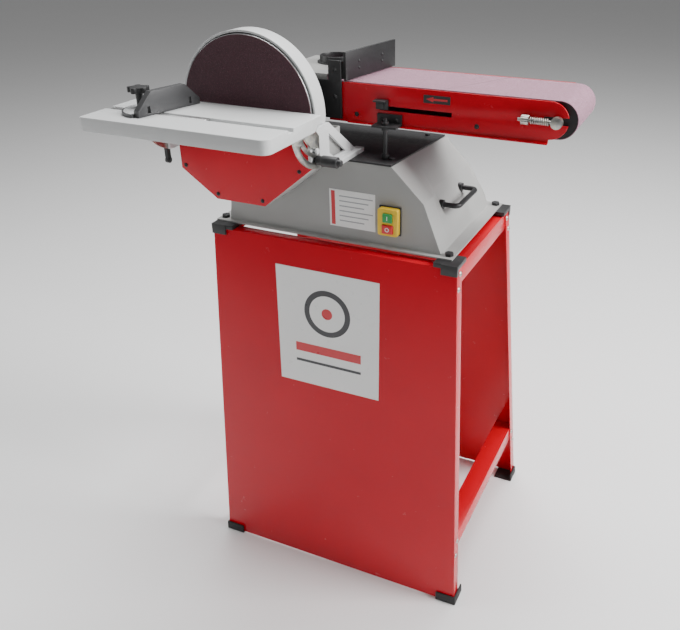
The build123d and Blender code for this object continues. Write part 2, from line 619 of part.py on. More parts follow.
def clamp_lever(side):
    """Clamp stud and hub outside a trunnion: a straight handle on the right, a drop lever on the left."""
    inner = TRUNNION_SIDE[side] - side * (TRUNNION_T / 2 + FREE + BRACKET_T)
    outer = TRUNNION_SIDE[side] + side * (TRUNNION_T / 2 + FREE)
    y, z = at_hinge(STUD_ANGLE, STUD_ARC_R)
    lever = rod_x(*sorted((inner, outer + side)), y, z, STUD_R)
    lever += rod_x(*sorted((outer, outer + side * 12)), y, z, 8)
    if side > 0:
        return lever + rod_x(outer + 11, outer + 40, y, z, 9.5) + rod_x(outer + 39, outer + 47, y, z, 5.5)
    arm_x = (outer - 11, outer - 4)
    return lever + box(*arm_x, y - 4.5, y + 4.5, z - 38, z) + rod_x(*arm_x, y, z - 38, 6)


# ---- mitre gauge ----
GAUGE_X, HEAD_TURN, HEAD_SHIFT = -124.0, 12.0, 27.0
BAR_L, BAR_SIDE = 196.0, 8.0
HEAD_L, HEAD_T, HEAD_H = 132.0, 12.0, 38.0
HEAD_BEVEL = 28.0    # lets the head clear the disc when the table tilts fully


def mitre_bar():
    """Bar that slides in the table's slot, with the pivot pin of the head."""
    half = SLOT_W / 2 - FREE
    bar = box(TABLE_X0 + BAR_SIDE, TABLE_X0 + BAR_SIDE + BAR_L, SLOT_Y - half, SLOT_Y + half,
              TABLE_TOP_Z - SLOT_DEPTH + FREE, TABLE_TOP_Z - FREE)
    return bar + rod_z(TABLE_TOP_Z - 2, TABLE_TOP_Z + 9, GAUGE_X, SLOT_Y, 5)


def turned(solid):
    """A mitre-head piece turned about the pivot pin to its rest angle."""
    return solid.moved(Pos(GAUGE_X, SLOT_Y, 0) * Rot(0, 0, -HEAD_TURN) * Pos(-GAUGE_X, -SLOT_Y, 0))


def mitre_head():
    """Upright face of the gauge with its half-round protractor plate."""
    z0 = TABLE_TOP_Z + FREE
    x0 = GAUGE_X + 8
    middle = SLOT_Y + HEAD_SHIFT
    near, far, top = middle - HEAD_L / 2, middle + HEAD_L / 2, z0 + HEAD_H
    points = [(near, z0), (near, top - HEAD_BEVEL), (near + HEAD_BEVEL + 2, top), (far - HEAD_BEVEL - 2, top),
              (far, top - HEAD_BEVEL), (far, z0)]
    face = slab_x(points, x0, x0 + HEAD_T)
    for y in (middle - 44, middle + 44):
        face -= box(x0 - 1, x0 + HEAD_T + 1, y - 3, y + 3, z0 + 4, z0 + 15)
    half_round = rod_z(z0, z0 + 5, GAUGE_X, SLOT_Y, 46) & box(GAUGE_X - 60, x0 + 1, -300, 0, z0, z0 + 5)
    head = face + half_round
    return turned(head - rod_z(z0 - 1, z0 + 20, GAUGE_X, SLOT_Y, 5 + RUNNING))


KNOB_DX, KNOB_DY, KNOB_R = -26.0, 2.0, 14.0


def mitre_knob():
    """Star knob on a tall stem that locks the head, above the protractor plate."""
    z = TABLE_TOP_Z + FREE + 5 + 0.4
    x, y = GAUGE_X + KNOB_DX, SLOT_Y + KNOB_DY
    knob = rod_z(z, z + 26, x, y, 6) + rod_z(z + 24, z + 33, x, y, KNOB_R)
    for index in range(5):
        angle = radians(72 * index)
        knob += rod_z(z + 24, z + 33, x + KNOB_R * cos(angle), y + KNOB_R * sin(angle), 5)
    return knob


# ---- belt arm ----
def arm_outline(y0, y1):
    """Side plate of the arm: a straight body and a round nose at the idler end."""
    nose = rod_y(y0, y1, ARM_END_X, SPINDLE_Z, ARM_NOSE_R)
    return box(ARM_X0, ARM_END_X, y0, y1, ARM_Z0, ARM_Z1) + nose


IDLER_SLOT_H, AXLE_R = 13.0, 6.0
LEVER_X, LEVER_Z = 193.0, 1081.0


def idler_slot(y0, y1):
    """Open slot at the nose that the idler axle slides in."""
    half = IDLER_SLOT_H / 2
    return box(CENTRES - 24, CENTRES + 60, y0 - 1, y1 + 1, SPINDLE_Z - half, SPINDLE_Z + half)


def arm_front_plate():
    """Red plate along the front of the arm with its slots and bottom lip."""
    y0, y1 = PLATE_Y - ARM_PLATE_T, PLATE_Y
    plate = arm_outline(y0, y1) - idler_slot(y0, y1)
    plate -= box(LEVER_X - 6, LEVER_X + 132, y0 - 1, y1 + 1, 1071, 1079)
    return plate + box(ARM_X0 + 40, ARM_END_X, y0 - 6, y1, ARM_Z0, ARM_Z0 + 2.5)


def arm_rear_plate():
    """Red plate along the rear of the arm, with the outboard bush of the spindle."""
    y0, y1 = REAR_PLATE_Y, REAR_PLATE_Y + ARM_PLATE_T
    plate = arm_outline(y0, y1) + box(0, ARM_X0 + 5, y0, y1, ARM_Z0 + 4, ARM_Z1 - 4)
    plate += rod_y(y0, y1, 0, SPINDLE_Z, 32) + rod_y(y0, y1 + 6, 0, SPINDLE_Z, 18)
    plate -= idler_slot(y0, y1)
    return plate - rod_y(y0 - 1, y1 + 9, 0, SPINDLE_Z, SHAFT_R + RUNNING)


def arm_ties():
    """Platen under the working run and the tie bars between the side plates."""
    top = SPINDLE_Z + BELT_IN_R - 0.3
    platen = box(HOOD_X1 + 2, CENTRES - 44, PLATE_Y, REAR_PLATE_Y, top - 3, top)
    tie = box(130, 136, PLATE_Y, REAR_PLATE_Y, SPINDLE_Z - 22, SPINDLE_Z + 22)
    far_tie = box(440, 446, PLATE_Y, REAR_PLATE_Y, SPINDLE_Z - 22, SPINDLE_Z + 22)
    return [platen, tie, far_tie]


def pivot_plate():
    """Black plate that turns on the rear bearing tube and carries the arm and the fence."""
    y0, y1 = PIVOT_PLATE_Y0, PIVOT_PLATE_Y1
    plate = rod_y(y0, y1, 0, SPINDLE_Z, 46) + box(0, 112, y0, y1, 1048, SPINDLE_Z + 34)
    plate += box(86, 112, y0, y1, 1048, 1152)
    return plate - rod_y(y0 - 1, y1 + 1, 0, SPINDLE_Z, BLOCK_R + RUNNING)


def fence_turned(solid):
    """A fence piece turned about the fence's front corner, as the fence is set."""
    corner = Pos(FENCE_X, PIVOT_PLATE_Y1, 0)
    return solid.moved(corner * Rot(0, 0, -FENCE_TURN) * corner.inverse())


def fence():
    """Stop plate across the belt, with a front foot on the pivot plate."""
    z0 = SPINDLE_Z + BELT_OUT_R + 1.5
    plate = box(FENCE_X, FENCE_X + FENCE_T, PIVOT_PLATE_Y1, PIVOT_PLATE_Y1 + FENCE_L, z0, z0 + FENCE_H)
    return fence_turned(plate) + box(84, FENCE_X + FENCE_T, PIVOT_PLATE_Y1, PIVOT_PLATE_Y1 + 4, z0 + 2, z0 + 34)


def arm_screws():
    """Screws of the arm plate, the fence and the stop bracket."""
    plate_y = PLATE_Y - ARM_PLATE_T
    screws = [dome_y(x, plate_y, z, 4.5, 3, 3) for x, z in ((141, 1059), (372, 1060))]
    screws += [dome_y(99, PIVOT_PLATE_Y0, z, 4, 2.6, 6) for z in (1088, 1136)]
    screws += [dome_y(x, STOP_Y0, 1056, 4, 2.6, 4) for x in (194, 222)]
    places = [(y, z) for y in (192, 272) for z in (1134, 1146)]
    return screws + [fence_turned(dome_x(FENCE_X + FENCE_T, y, z, 3.2, 2, 4)) for y, z in places]


STOP_X, STOP_Y0, STOP_R = 206.0, PLATE_Y - ARM_PLATE_T - 4, 4.0


def stop_bracket():
    """Angle under the arm that holds the stop bolt."""
    upright = box(STOP_X - 22, STOP_X + 26, STOP_Y0, PLATE_Y - ARM_PLATE_T, ARM_Z0 + 3, 1066)
    shelf = box(STOP_X - 22, STOP_X + 26, STOP_Y0 - 26, STOP_Y0 + 1, ARM_Z0 + 3, ARM_Z0 + 7)
    return upright + shelf - rod_z(1030, 1060, STOP_X, STOP_Y0 - 14, STOP_R)


def stop_bolt():
    """Adjustable stop whose head rests on the top plate when the arm is level."""
    x, y = STOP_X, STOP_Y0 - 14
    bolt = rod_z(PLATE_TOP_Z + 8, 1062, x, y, STOP_R)
    bolt += Pos(x, y, PLATE_TOP_Z + FREE) * extrude(RegularPolygon(8, 6), 8)
    for z in (ARM_Z0 - 2.5, ARM_Z0 + 7):
        bolt += Pos(x, y, z) * extrude(RegularPolygon(7.5, 6), 5.5)
    return bolt


HOOD_X0, HOOD_X1, HOOD_TOP, HOOD_BEVEL = -58.0, 80.0, 1126.0, 28.0


def hood():
    """Sheet dust hood over the drive end of the belt, open towards the belt and below."""
    y0, y1 = PLATE_Y, REAR_PLATE_Y
    outer = slab_y([(HOOD_X0, 1040), (HOOD_X0, HOOD_TOP - HOOD_BEVEL), (HOOD_X0 + HOOD_BEVEL, HOOD_TOP),
                    (HOOD_X1, HOOD_TOP), (HOOD_X1, 1040)], y0, y1)
    inner = slab_y([(HOOD_X0 + 2, 1039), (HOOD_X0 + 2, HOOD_TOP - HOOD_BEVEL - 1),
                    (HOOD_X0 + HOOD_BEVEL + 1, HOOD_TOP - 2), (HOOD_X1 + 1, HOOD_TOP - 2),
                    (HOOD_X1 + 1, 1039)], y0 + 2, y1 - 2)
    shell = outer - inner
    shell -= box(-60, HOOD_X1 + 1, y0 - 1, y0 + 3, 1039, SPINDLE_Z + 30)
    shell -= box(-40, HOOD_X1 + 1, y1 - 3, y1 + 1, 1039, SPINDLE_Z + 18)
    return shell - rod_z(HOOD_TOP - 9, HOOD_TOP + 9, PORT_X, PORT_Y, PORT_IN_R)


PORT_X, PORT_Y, PORT_IN_R, PORT_OUT_R, PORT_H = 42.0, 262.0, 29.0, 31.5, 14.0


def dust_port():
    """Round extraction spigot on top of the hood."""
    spigot = rod_z(HOOD_TOP, HOOD_TOP + PORT_H, PORT_X, PORT_Y, PORT_OUT_R)
    spigot += rod_z(HOOD_TOP, HOOD_TOP + 3, PORT_X, PORT_Y, PORT_OUT_R + 5)
    return spigot - rod_z(HOOD_TOP - 1, HOOD_TOP + PORT_H + 1, PORT_X, PORT_Y, PORT_IN_R)


def sanding_belt():
    """The abrasive belt at its real length, a still stand-in that clears both rollers."""
    outer = loop(0, SPINDLE_Z, BELT_OUT_R, CENTRES, SPINDLE_Z, BELT_OUT_R, BELT_Y, BELT_Y1)
    return outer - loop(0, SPINDLE_Z, BELT_IN_R, CENTRES, SPINDLE_Z, BELT_IN_R, BELT_Y - 1, BELT_Y1 + 1)


def arrow_plate():
    """Small dark plate that shows the belt's direction."""
    return box(272, 322, PLATE_Y - ARM_PLATE_T - 0.8, PLATE_Y - ARM_PLATE_T, 1092, 1106)


TRACK_Y = PLATE_Y - ARM_PLATE_T - 9.0


def idler_axle():
    """Axle of the idler roller with its eye block and tracking rod in front of the arm plate."""
    axle = rod_y(TRACK_Y - 8, REAR_PLATE_Y + ARM_PLATE_T + 8, CENTRES, SPINDLE_Z, AXLE_R)
    axle += rod_y(TRACK_Y - 6, TRACK_Y + 5, CENTRES, SPINDLE_Z, 10)
    return axle + rod_x(CENTRES - 66, CENTRES - 4, TRACK_Y, SPINDLE_Z, 3)


def tracking_spring():
    """Spring on the tracking rod, drawn as a row of rings joined by a thin sleeve."""
    spring = rod_x(CENTRES - 46, CENTRES - 12, TRACK_Y, SPINDLE_Z, 4)
    for index in range(8):
        spring += Pos(CENTRES - 44 + index * 4.4, TRACK_Y, SPINDLE_Z) * Rot(0, 90, 0) * Torus(5.0, 1.3)
    return spring - rod_x(CENTRES - 90, CENTRES, TRACK_Y, SPINDLE_Z, 3)


def tracking_knob():
    """Fluted knob on the tracking rod."""
    x0, x1 = CENTRES - 60, CENTRES - 47
    knob = rod_x(x0, x1, TRACK_Y, SPINDLE_Z, 8)
    for index in range(8):
        angle = pi / 4 * index
        knob -= rod_x(x0 - 1, x1 + 1, TRACK_Y + 9 * cos(angle), SPINDLE_Z + 9 * sin(angle), 1.8)
    return knob - rod_x(x0 - 1, x1 + 1, TRACK_Y, SPINDLE_Z, 3 + RUNNING)


def idler_roller():
    """Idler roller that carries the belt at the far end."""
    return ring_y(BELT_Y + 1, BELT_Y1 - 1, CENTRES, SPINDLE_Z, ROLLER_R, AXLE_R + RUNNING)


def tension_lever():
    """Flat lever in front of the arm plate that slackens the belt."""
    y1 = PLATE_Y - ARM_PLATE_T - FREE
    lever = box(LEVER_X - 12, LEVER_X + 12, y1 - 3, y1, LEVER_Z - 8, LEVER_Z + 10)
    lever += box(LEVER_X - 12, LEVER_X + 12, y1 - 16, y1, LEVER_Z + 7, LEVER_Z + 10)
    lever += rod_y(y1 - 6, y1 - 3, LEVER_X, LEVER_Z, 5)
    return lever + rod_y(y1 - 1, PLATE_Y + 3, LEVER_X, LEVER_Z - 6, 3.2)


# ---- switch, labels, lock lever ----
SWITCH_X, SWITCH_Z = 231.0, 882.0
FRONT_Y = WALL_Y0
BUTTON_TRAVEL = 3.0
BUTTONS = {"start_button": (SWITCH_Z + 9, 9.5, 8.5), "stop_button": (SWITCH_Z - 13, 11.0, 8.5)}


def button(name, y0, y1, grow=0.0):
    """Rectangular push button, or its well when grown."""
    z, half_w, half_h = BUTTONS[name]
    half_w, half_h = half_w + grow, half_h + grow
    block = box(SWITCH_X - half_w, SWITCH_X + half_w, y0, y1, z - half_h, z + half_h)
    return fillet(block.edges().filter_by(Axis.Y), 2)


def switch_back():
    """Black mounting plate of the switch."""
    return box(SWITCH_X - 22, SWITCH_X + 22, FRONT_Y - 3, FRONT_Y, SWITCH_Z - 28, SWITCH_Z + 28)


def switch_body():
    """Yellow switch frame with two button wells."""
    frame = box(SWITCH_X - 20, SWITCH_X + 20, FRONT_Y - 15, FRONT_Y - 3, SWITCH_Z - 26, SWITCH_Z + 26)
    frame = fillet(frame.edges().filter_by(Axis.Y), 4)
    for name in BUTTONS:
        frame -= button(name, FRONT_Y - 16, FRONT_Y - 5, FREE)
    return frame


LOCK_X, LOCK_Z, LOCK_STUD_R = 62.0, 1112.0, 4.0


def lock_lever():
    """Lever with a ball knob that clamps the arm at its angle."""
    x, z, y0 = LOCK_X, LOCK_Z, PEDESTAL_Y0 - 4
    stud = rod_y(y0 - 8, PEDESTAL_Y1 - 1, x, z, LOCK_STUD_R)
    hub = rod_y(y0 - 8, y0 + 2, x, z, 8)
    stem = Pos(x - 6, y0 - 3, z + 26) * Rot(0, -13, 0) * Cylinder(3, 50)
    return stud + hub + stem + Pos(x - 12, y0 - 3, z + 53) * Sphere(8)


def lock_lug():
    """Lug of the front bearing block that the lock lever is screwed to."""
    lug = slab_y([(20, SPINDLE_Z + 18), (20, SPINDLE_Z - 8), (72, SPINDLE_Z + 18), (72, SPINDLE_Z + 40),
                  (52, SPINDLE_Z + 40)], PEDESTAL_Y0, PEDESTAL_Y1)
    lug -= rod_y(PEDESTAL_Y0 - 9, PEDESTAL_Y1 + 9, 0, SPINDLE_Z, BLOCK_R - 1)
    return lug - rod_y(PEDESTAL_Y0 - 9, PEDESTAL_Y1 + 9, LOCK_X, LOCK_Z, LOCK_STUD_R + RUNNING)


LABEL_Z = 629.0


def label_front():
    """Blank rectangular plate on the stand's front panel, laid on its slope."""
    tilt = degrees(atan2(FLARE_FRONT, STAND_TOP_Z - FOOT_H))
    y = stand_y(LABEL_Z, True)
    return Pos(106, y - 0.6, LABEL_Z) * Rot(-tilt, 0, 0) * Box(230, 1.0, 266)


def label_rating():
    """Blank rating plate on the housing front."""
    return box(104, 200, FRONT_Y - 0.82, FRONT_Y - 0.02, 853, 927)


def build():
    """All sub-parts as a dictionary of node name to solid."""
    nodes = {
        "stand_front_panel": panel(True),
        "stand_rear_panel": panel(False),
        "stand_side_rails": group(rail(side, z, RAIL_H, RAIL_W) for side in (-1, 1)
                                  for z in (STAND_TOP_Z - SHEET - RAIL_H - SEAT, LOWER_RAIL_Z)),
        "stand_screws": group(stand_screws()),
        "corner_pads": group(corner_pad(side, front) for side, front in CORNERS),
        "housing": housing(),
        "base_plate": base_plate(),
        "top_plate": top_plate(),
        "housing_bolts": group(flange_bolts() + top_screws()),
        "carry_handle": carry_handle(),
        "motor": motor(),
        "motor_shaft": rod_y(PULLEY_Y0 - 2, 300, MOTOR_X, MOTOR_Z, 8),
        "motor_pulley": pulley(MOTOR_X, MOTOR_Z, MOTOR_PULLEY_R, 8),
        "drive_belt": drive_belt(),
        "belt_guard": belt_guard(),
        "front_bearing_block": front_bearing_block() + lock_lug(),
        "rear_bearing_block": rear_bearing_block(),
        "spindle_bearings": group(bearings()),
        "spindle_shaft": spindle_shaft(),
        "spindle_pulley": pulley(0, SPINDLE_Z, SPINDLE_PULLEY_R, SHAFT_R),
        "disc_plate": disc_plate(),
        "abrasive_disc": rod_y(0, DISC_T, 0, SPINDLE_Z, DISC_R),
        "drive_roller": drive_roller(),
        "disc_guard": guard(),
        "disc_shroud": shroud(),
        "lower_cover": lower_cover(),
        "cover_screws": group(cover_screws()),
        "table_bracket_right": table_bracket(1) + foot_casting(),
        "table_bracket_left": table_bracket(-1),
        "disc_table": disc_table(),
        "table_trunnions": group(trunnion(side) for side in (-1, 1)),
        "clamp_lever_right": clamp_lever(1),
        "clamp_lever_left": clamp_lever(-1),
        "mitre_bar": mitre_bar(),
        "mitre_head": mitre_head(),
        "mitre_knob": turned(mitre_knob()),
        "arm_front_plate": arm_front_plate(),
        "arm_rear_plate": arm_rear_plate(),
        "arm_ties": group(arm_ties()),
        "arm_pivot_plate": pivot_plate(),
        "fence": fence(),
        "arm_screws": group(arm_screws()),
        "stop_bracket": stop_bracket(),
        "stop_bolt": stop_bolt(),
        "dust_hood": hood(),
        "dust_port": dust_port(),
        "sanding_belt": sanding_belt(),
        "arrow_plate": arrow_plate(),
        "idler_axle": idler_axle(),
        "tracking_spring": tracking_spring(),
        "tracking_knob": tracking_knob(),
        "idler_roller": idler_roller(),
        "tension_lever": tension_lever(),
        "switch_back": switch_back(),
        "switch_body": switch_body(),
        "lock_lever": lock_lever(),
        "labels": group([label_front(), label_rating()]),
        "feet": group(foot(side, front) for side, front in CORNERS),
    }
    for name in BUTTONS:
        nodes[name] = button(name, FRONT_Y - 18, FRONT_Y - 9)
    return nodes


def main():
    os.makedirs("parts", exist_ok=True)
    for name, shape in build().items():
        export_step(shape.moved(Pos(-BOX_CX, -BOX_CY, 0)), f"parts/{name}.step")


if __name__ == "__main__":
    main()
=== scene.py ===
"""Looks of the belt and disc sander: bevelled sheet and cast parts, finishes, light and camera."""
import json
import logging
from dataclasses import dataclass, field
from enum import Enum
from math import cos, pi, radians, sin
from typing import Any, Iterable, Sequence, Union

import bmesh
import bpy
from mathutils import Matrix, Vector


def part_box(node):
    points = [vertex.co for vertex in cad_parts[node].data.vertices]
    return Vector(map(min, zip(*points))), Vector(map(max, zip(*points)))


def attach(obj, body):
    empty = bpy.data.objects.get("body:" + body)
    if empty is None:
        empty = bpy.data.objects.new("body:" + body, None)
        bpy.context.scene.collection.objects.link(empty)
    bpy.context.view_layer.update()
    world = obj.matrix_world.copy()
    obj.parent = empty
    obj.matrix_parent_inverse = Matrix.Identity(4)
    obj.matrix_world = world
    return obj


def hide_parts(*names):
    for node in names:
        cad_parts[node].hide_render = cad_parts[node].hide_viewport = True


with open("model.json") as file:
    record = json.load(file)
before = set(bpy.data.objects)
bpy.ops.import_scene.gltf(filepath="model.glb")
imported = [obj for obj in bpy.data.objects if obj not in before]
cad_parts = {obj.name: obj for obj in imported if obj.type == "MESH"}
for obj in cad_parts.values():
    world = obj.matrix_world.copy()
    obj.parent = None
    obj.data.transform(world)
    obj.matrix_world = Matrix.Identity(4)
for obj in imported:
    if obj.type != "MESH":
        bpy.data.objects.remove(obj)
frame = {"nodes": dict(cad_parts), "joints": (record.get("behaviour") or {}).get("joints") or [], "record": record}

log = logging.getLogger("sander")
Colour = tuple[float, float, float]
Number = Union[float, "Socket"]
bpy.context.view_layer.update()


class Slot(Enum):
    """Material slots of the record."""

    RED_PAINT = "red_paint"
    ZINC = "zinc_steel"
    BLACK_PLASTIC = "black_plastic"
    BLACK_STEEL = "black_steel"
    GREY_PAINT = "grey_paint"
    CAST_GREY = "cast_grey"
    DARK_CAST = "dark_cast"
    BRIGHT_STEEL = "bright_steel"
    MACHINED = "machined_aluminium"
    DISC_GRIT = "disc_abrasive"
    BELT_GRIT = "belt_abrasive"
    RUBBER = "rubber"
    YELLOW = "yellow_plastic"
    GREEN = "green_plastic"
    RED_PLASTIC = "red_plastic"
    LABEL = "label"


# ---- shader writing ----
class Socket:
    """A shader output whose operators add Math nodes."""

    def __init__(self, surface: "Surface", socket: bpy.types.NodeSocket) -> None:
        """Keep the surface that owns the node tree and the wrapped socket."""
        self.surface = surface
        self.socket = socket

    def _math(self, operation: str, first: Number, second: Number) -> "Socket":
        """Add one Math node.

        Args:
            operation: Name of the Math operation.
            first: Left operand.
            second: Right operand.

        Returns:
            The result as a socket.
        """
        return self.surface.node("ShaderNodeMath", {"operation": operation}, {0: first, 1: second})

    def __add__(self, other: Number) -> "Socket":
        """Sum."""
        return self._math("ADD", self, other)

    __radd__ = __add__

    def __mul__(self, other: Number) -> "Socket":
        """Product."""
        return self._math("MULTIPLY", self, other)

    __rmul__ = __mul__

    def __sub__(self, other: Number) -> "Socket":
        """Difference."""
        return self._math("SUBTRACT", self, other)

    def __rsub__(self, other: Number) -> "Socket":
        """Difference with the number on the left."""
        return self._math("SUBTRACT", other, self)

    def size(self) -> "Socket":
        """Absolute value."""
        return self._math("ABSOLUTE", self, 0.0)


class Surface:
    """One material with its Principled shader and the methods that write its nodes."""

    def __init__(self, name: str) -> None:
        """Make an empty node material with a Principled shader."""
        self.material = bpy.data.materials.new(name)
        self.material.use_nodes = True
        self.tree = self.material.node_tree
        self.shader = self.tree.nodes["Principled BSDF"]

    def node(self, kind: str, settings: dict[str, Any], inputs: dict[Any, Any],
             output: Union[int, str] = 0) -> Socket:
        """Add one node of any type.

        Args:
            kind: Blender's node type.
            settings: Node properties, set before the inputs; "stops" fills a colour ramp.
            inputs: Socket name or number to a value or a Socket.
            output: Socket to return.

        Returns:
            The chosen output.
        """
        made = self.tree.nodes.new(kind)
        for key, value in settings.items():
            if key == "stops":
                ramp = made.color_ramp.elements
                for element, (place, shade) in zip(ramp, value):
                    element.position = place
                    element.color = (*shade, 1.0)
            else:
                setattr(made, key, value)
        for key, value in inputs.items():
            if isinstance(value, Socket):
                self.tree.links.new(value.socket, made.inputs[key])
            else:
                made.inputs[key].default_value = value
        return Socket(self, made.outputs[output])

    def place(self) -> Socket:
        """Position on the object in metres."""
        return self.node("ShaderNodeTexCoord", {}, {}, "Object")

    def axis(self, name: str) -> Socket:
        """One coordinate of the position, in metres.

        Args:
            name: X, Y or Z.

        Returns:
            The coordinate as a socket.
        """
        return self.node("ShaderNodeSeparateXYZ", {}, {0: self.place()}, name)

    def stretched(self, scale: Sequence[float]) -> Socket:
        """Position scaled along each axis, for streaks.

        Args:
            scale: Factor on each axis.

        Returns:
            The scaled position.
        """
        inputs = {0: self.place(), 1: tuple(scale)}
        return self.node("ShaderNodeVectorMath", {"operation": "MULTIPLY"}, inputs)

    def noise(self, scale: float, detail: float = 3.0, roughness: float = 0.5,
              at: Union[Socket, None] = None) -> Socket:
        """Noise between 0 and 1.

        Args:
            scale: Repeats per metre.
            detail: Octaves.
            roughness: Share of the fine octaves.
            at: Position to use in place of the plain one.

        Returns:
            The noise value.
        """
        inputs = {"Vector": at or self.place(), "Scale": scale, "Detail": detail, "Roughness": roughness}
        return self.node("ShaderNodeTexNoise", {}, inputs, 0)

    def cells(self, scale: float) -> Socket:
        """Distance to the nearest grain centre.

        Args:
            scale: Grains per metre.

        Returns:
            The distance, in grain widths.
        """
        return self.node("ShaderNodeTexVoronoi", {}, {"Vector": self.place(), "Scale": scale}, "Distance")

    def grain_shade(self, scale: float) -> Socket:
        """Random shade that is constant over each grain.

        Args:
            scale: Grains per metre.

        Returns:
            A shade between 0 and 1.
        """
        tint = self.node("ShaderNodeTexVoronoi", {}, {"Vector": self.place(), "Scale": scale}, "Color")
        return self.node("ShaderNodeSeparateColor", {}, {0: tint}, 0)

    def mix(self, factor: Number, first: Any, second: Any) -> Socket:
        """Blend two colours.

        Args:
            factor: Share of the second colour.
            first: Colour or socket at factor 0.
            second: Colour or socket at factor 1.

        Returns:
            The blended colour.
        """
        def full(colour: Any) -> Any:
            """Give a plain colour its alpha."""
            return colour if isinstance(colour, Socket) else (*colour, 1.0)

        inputs = {0: factor, 6: full(first), 7: full(second)}
        return self.node("ShaderNodeMix", {"data_type": "RGBA"}, inputs, 2)

    def span(self, value: Socket, low: float, high: float) -> Socket:
        """Map 0..1 to low..high.

        Args:
            value: Socket between 0 and 1.
            low: Result at 0.
            high: Result at 1.

        Returns:
            The mapped value.
        """
        return value * (high - low) + low

    def ramp(self, value: Socket, start: float, end: float) -> Socket:
        """A smooth mask that rises from start to end.

        Args:
            value: Socket to read.
            start: Value where the mask leaves 0.
            end: Value where it reaches 1.

        Returns:
            The mask.
        """
        return self.node("ShaderNodeMapRange", {"interpolation_type": "SMOOTHSTEP"},
                         {0: value, 1: start, 2: end, 3: 0.0, 4: 1.0}, 0)

    def feed(self, **links: Any) -> None:
        """Set or link Principled sockets, named with underscores for spaces.

        Args:
            links: Input name to a number, a colour or a Socket.
        """
        for key, value in links.items():
            socket = self.shader.inputs[key.replace("_", " ")]
            if isinstance(value, Socket):
                self.tree.links.new(value.socket, socket)
            elif isinstance(value, tuple) and len(value) == 3:
                socket.default_value = (*value, 1.0)
            else:
                socket.default_value = value

    def bump(self, height: Socket, depth: float, strength: float = 1.0) -> None:
        """Raise the surface by a height field, depth in metres.

        Args:
            height: Height field.
            depth: Height of one unit of the field.
            strength: Share of the effect.
        """
        normal = self.node("ShaderNodeBump", {}, {"Height": height, "Distance": depth, "Strength": strength})
        self.feed(Normal=normal)


# ---- finishes ----
@dataclass(frozen=True)
class Finish:
    """What every finish has."""

    name: str
    colour: Colour

    def build(self) -> bpy.types.Material:
        """Make the material."""
        surface = Surface(self.name)
        self.write(surface)
        return surface.material

    def write(self, surface: Surface) -> None:
        """Fill the node tree; each finish has its own."""
        raise NotImplementedError

    def shade(self, factor: float) -> Colour:
        """The colour made lighter or darker.

        Args:
            factor: Multiplier on each part.

        Returns:
            The new colour.
        """
        return tuple(min(1.0, part * factor) for part in self.colour)


@dataclass(frozen=True)
class GlossPaint(Finish):
    """Sprayed gloss paint with orange peel, faint runs of tone and dust."""

    roughness: float = 0.22
    peel: float = 0.00005
    dust: Colour = (0.4, 0.3, 0.28)
    dust_share: float = 0.015

    def write(self, surface: Surface) -> None:
        """Paint, peel and a thin uneven film of dust."""
        cloud = surface.noise(4.5, 5.0)
        fleck = surface.noise(900.0, 2.0)
        tone = surface.mix(cloud, self.shade(0.86), self.shade(1.1))
        film = surface.ramp(surface.noise(14.0, 6.0, 0.65), 0.45, 0.85) * self.dust_share
        specks = surface.ramp(fleck, 0.74, 0.8) * 0.08
        surface.feed(Base_Color=surface.mix(film + specks, tone, self.dust))
        scuffs = surface.ramp(surface.noise(38.0, 4.0, 0.7), 0.5, 0.8)
        surface.feed(Roughness=surface.span(scuffs, self.roughness, self.roughness + 0.08))
        surface.feed(Specular_IOR_Level=0.3)
        surface.bump(surface.noise(420.0, 2.0) + surface.noise(60.0, 2.0) * 1.6, self.peel)


@dataclass(frozen=True)
class PowderCoat(Finish):
    """Fine-textured black powder coat, greyer where it is rubbed."""

    roughness: float = 0.46

    def write(self, surface: Surface) -> None:
        """Texture and rubbed patches."""
        rub = surface.ramp(surface.noise(26.0, 6.0, 0.7), 0.52, 0.78)
        surface.feed(Base_Color=surface.mix(rub, self.colour, self.shade(2.3)))
        grain = surface.noise(90.0, 4.0)
        surface.feed(Roughness=surface.span(grain, self.roughness - 0.1, self.roughness + 0.14))
        surface.bump(surface.noise(1900.0, 2.0) + surface.cells(1300.0) * 0.6, 0.00009)


@dataclass(frozen=True)
class CastPaint(Finish):
    """Painted sand casting: soft lumps, fine pits that are coloured a little darker, and random patches of grime.
    """

    roughness: float = 0.38
    lumps: float = 0.00022
    grime: float = 0.14

    def write(self, surface: Surface) -> None:
        """Skin of the casting under its paint."""
        lumps = surface.noise(120.0, 4.0, 0.6)
        pits = surface.ramp(surface.noise(640.0, 2.0), 0.62, 0.76)
        tone = surface.mix(surface.noise(7.0, 4.0), self.shade(0.92), self.shade(1.06))
        dirt = surface.ramp(surface.noise(22.0, 6.0, 0.7), 0.5, 0.9) * self.grime
        # The colour is darker in the fine pits as well as in the grime patches.
        surface.feed(Base_Color=surface.mix(dirt + pits * 0.1, tone, self.shade(0.45)))
        surface.feed(Roughness=surface.span(lumps, self.roughness - 0.06, self.roughness + 0.16))
        surface.bump(lumps - pits * 0.35, self.lumps)


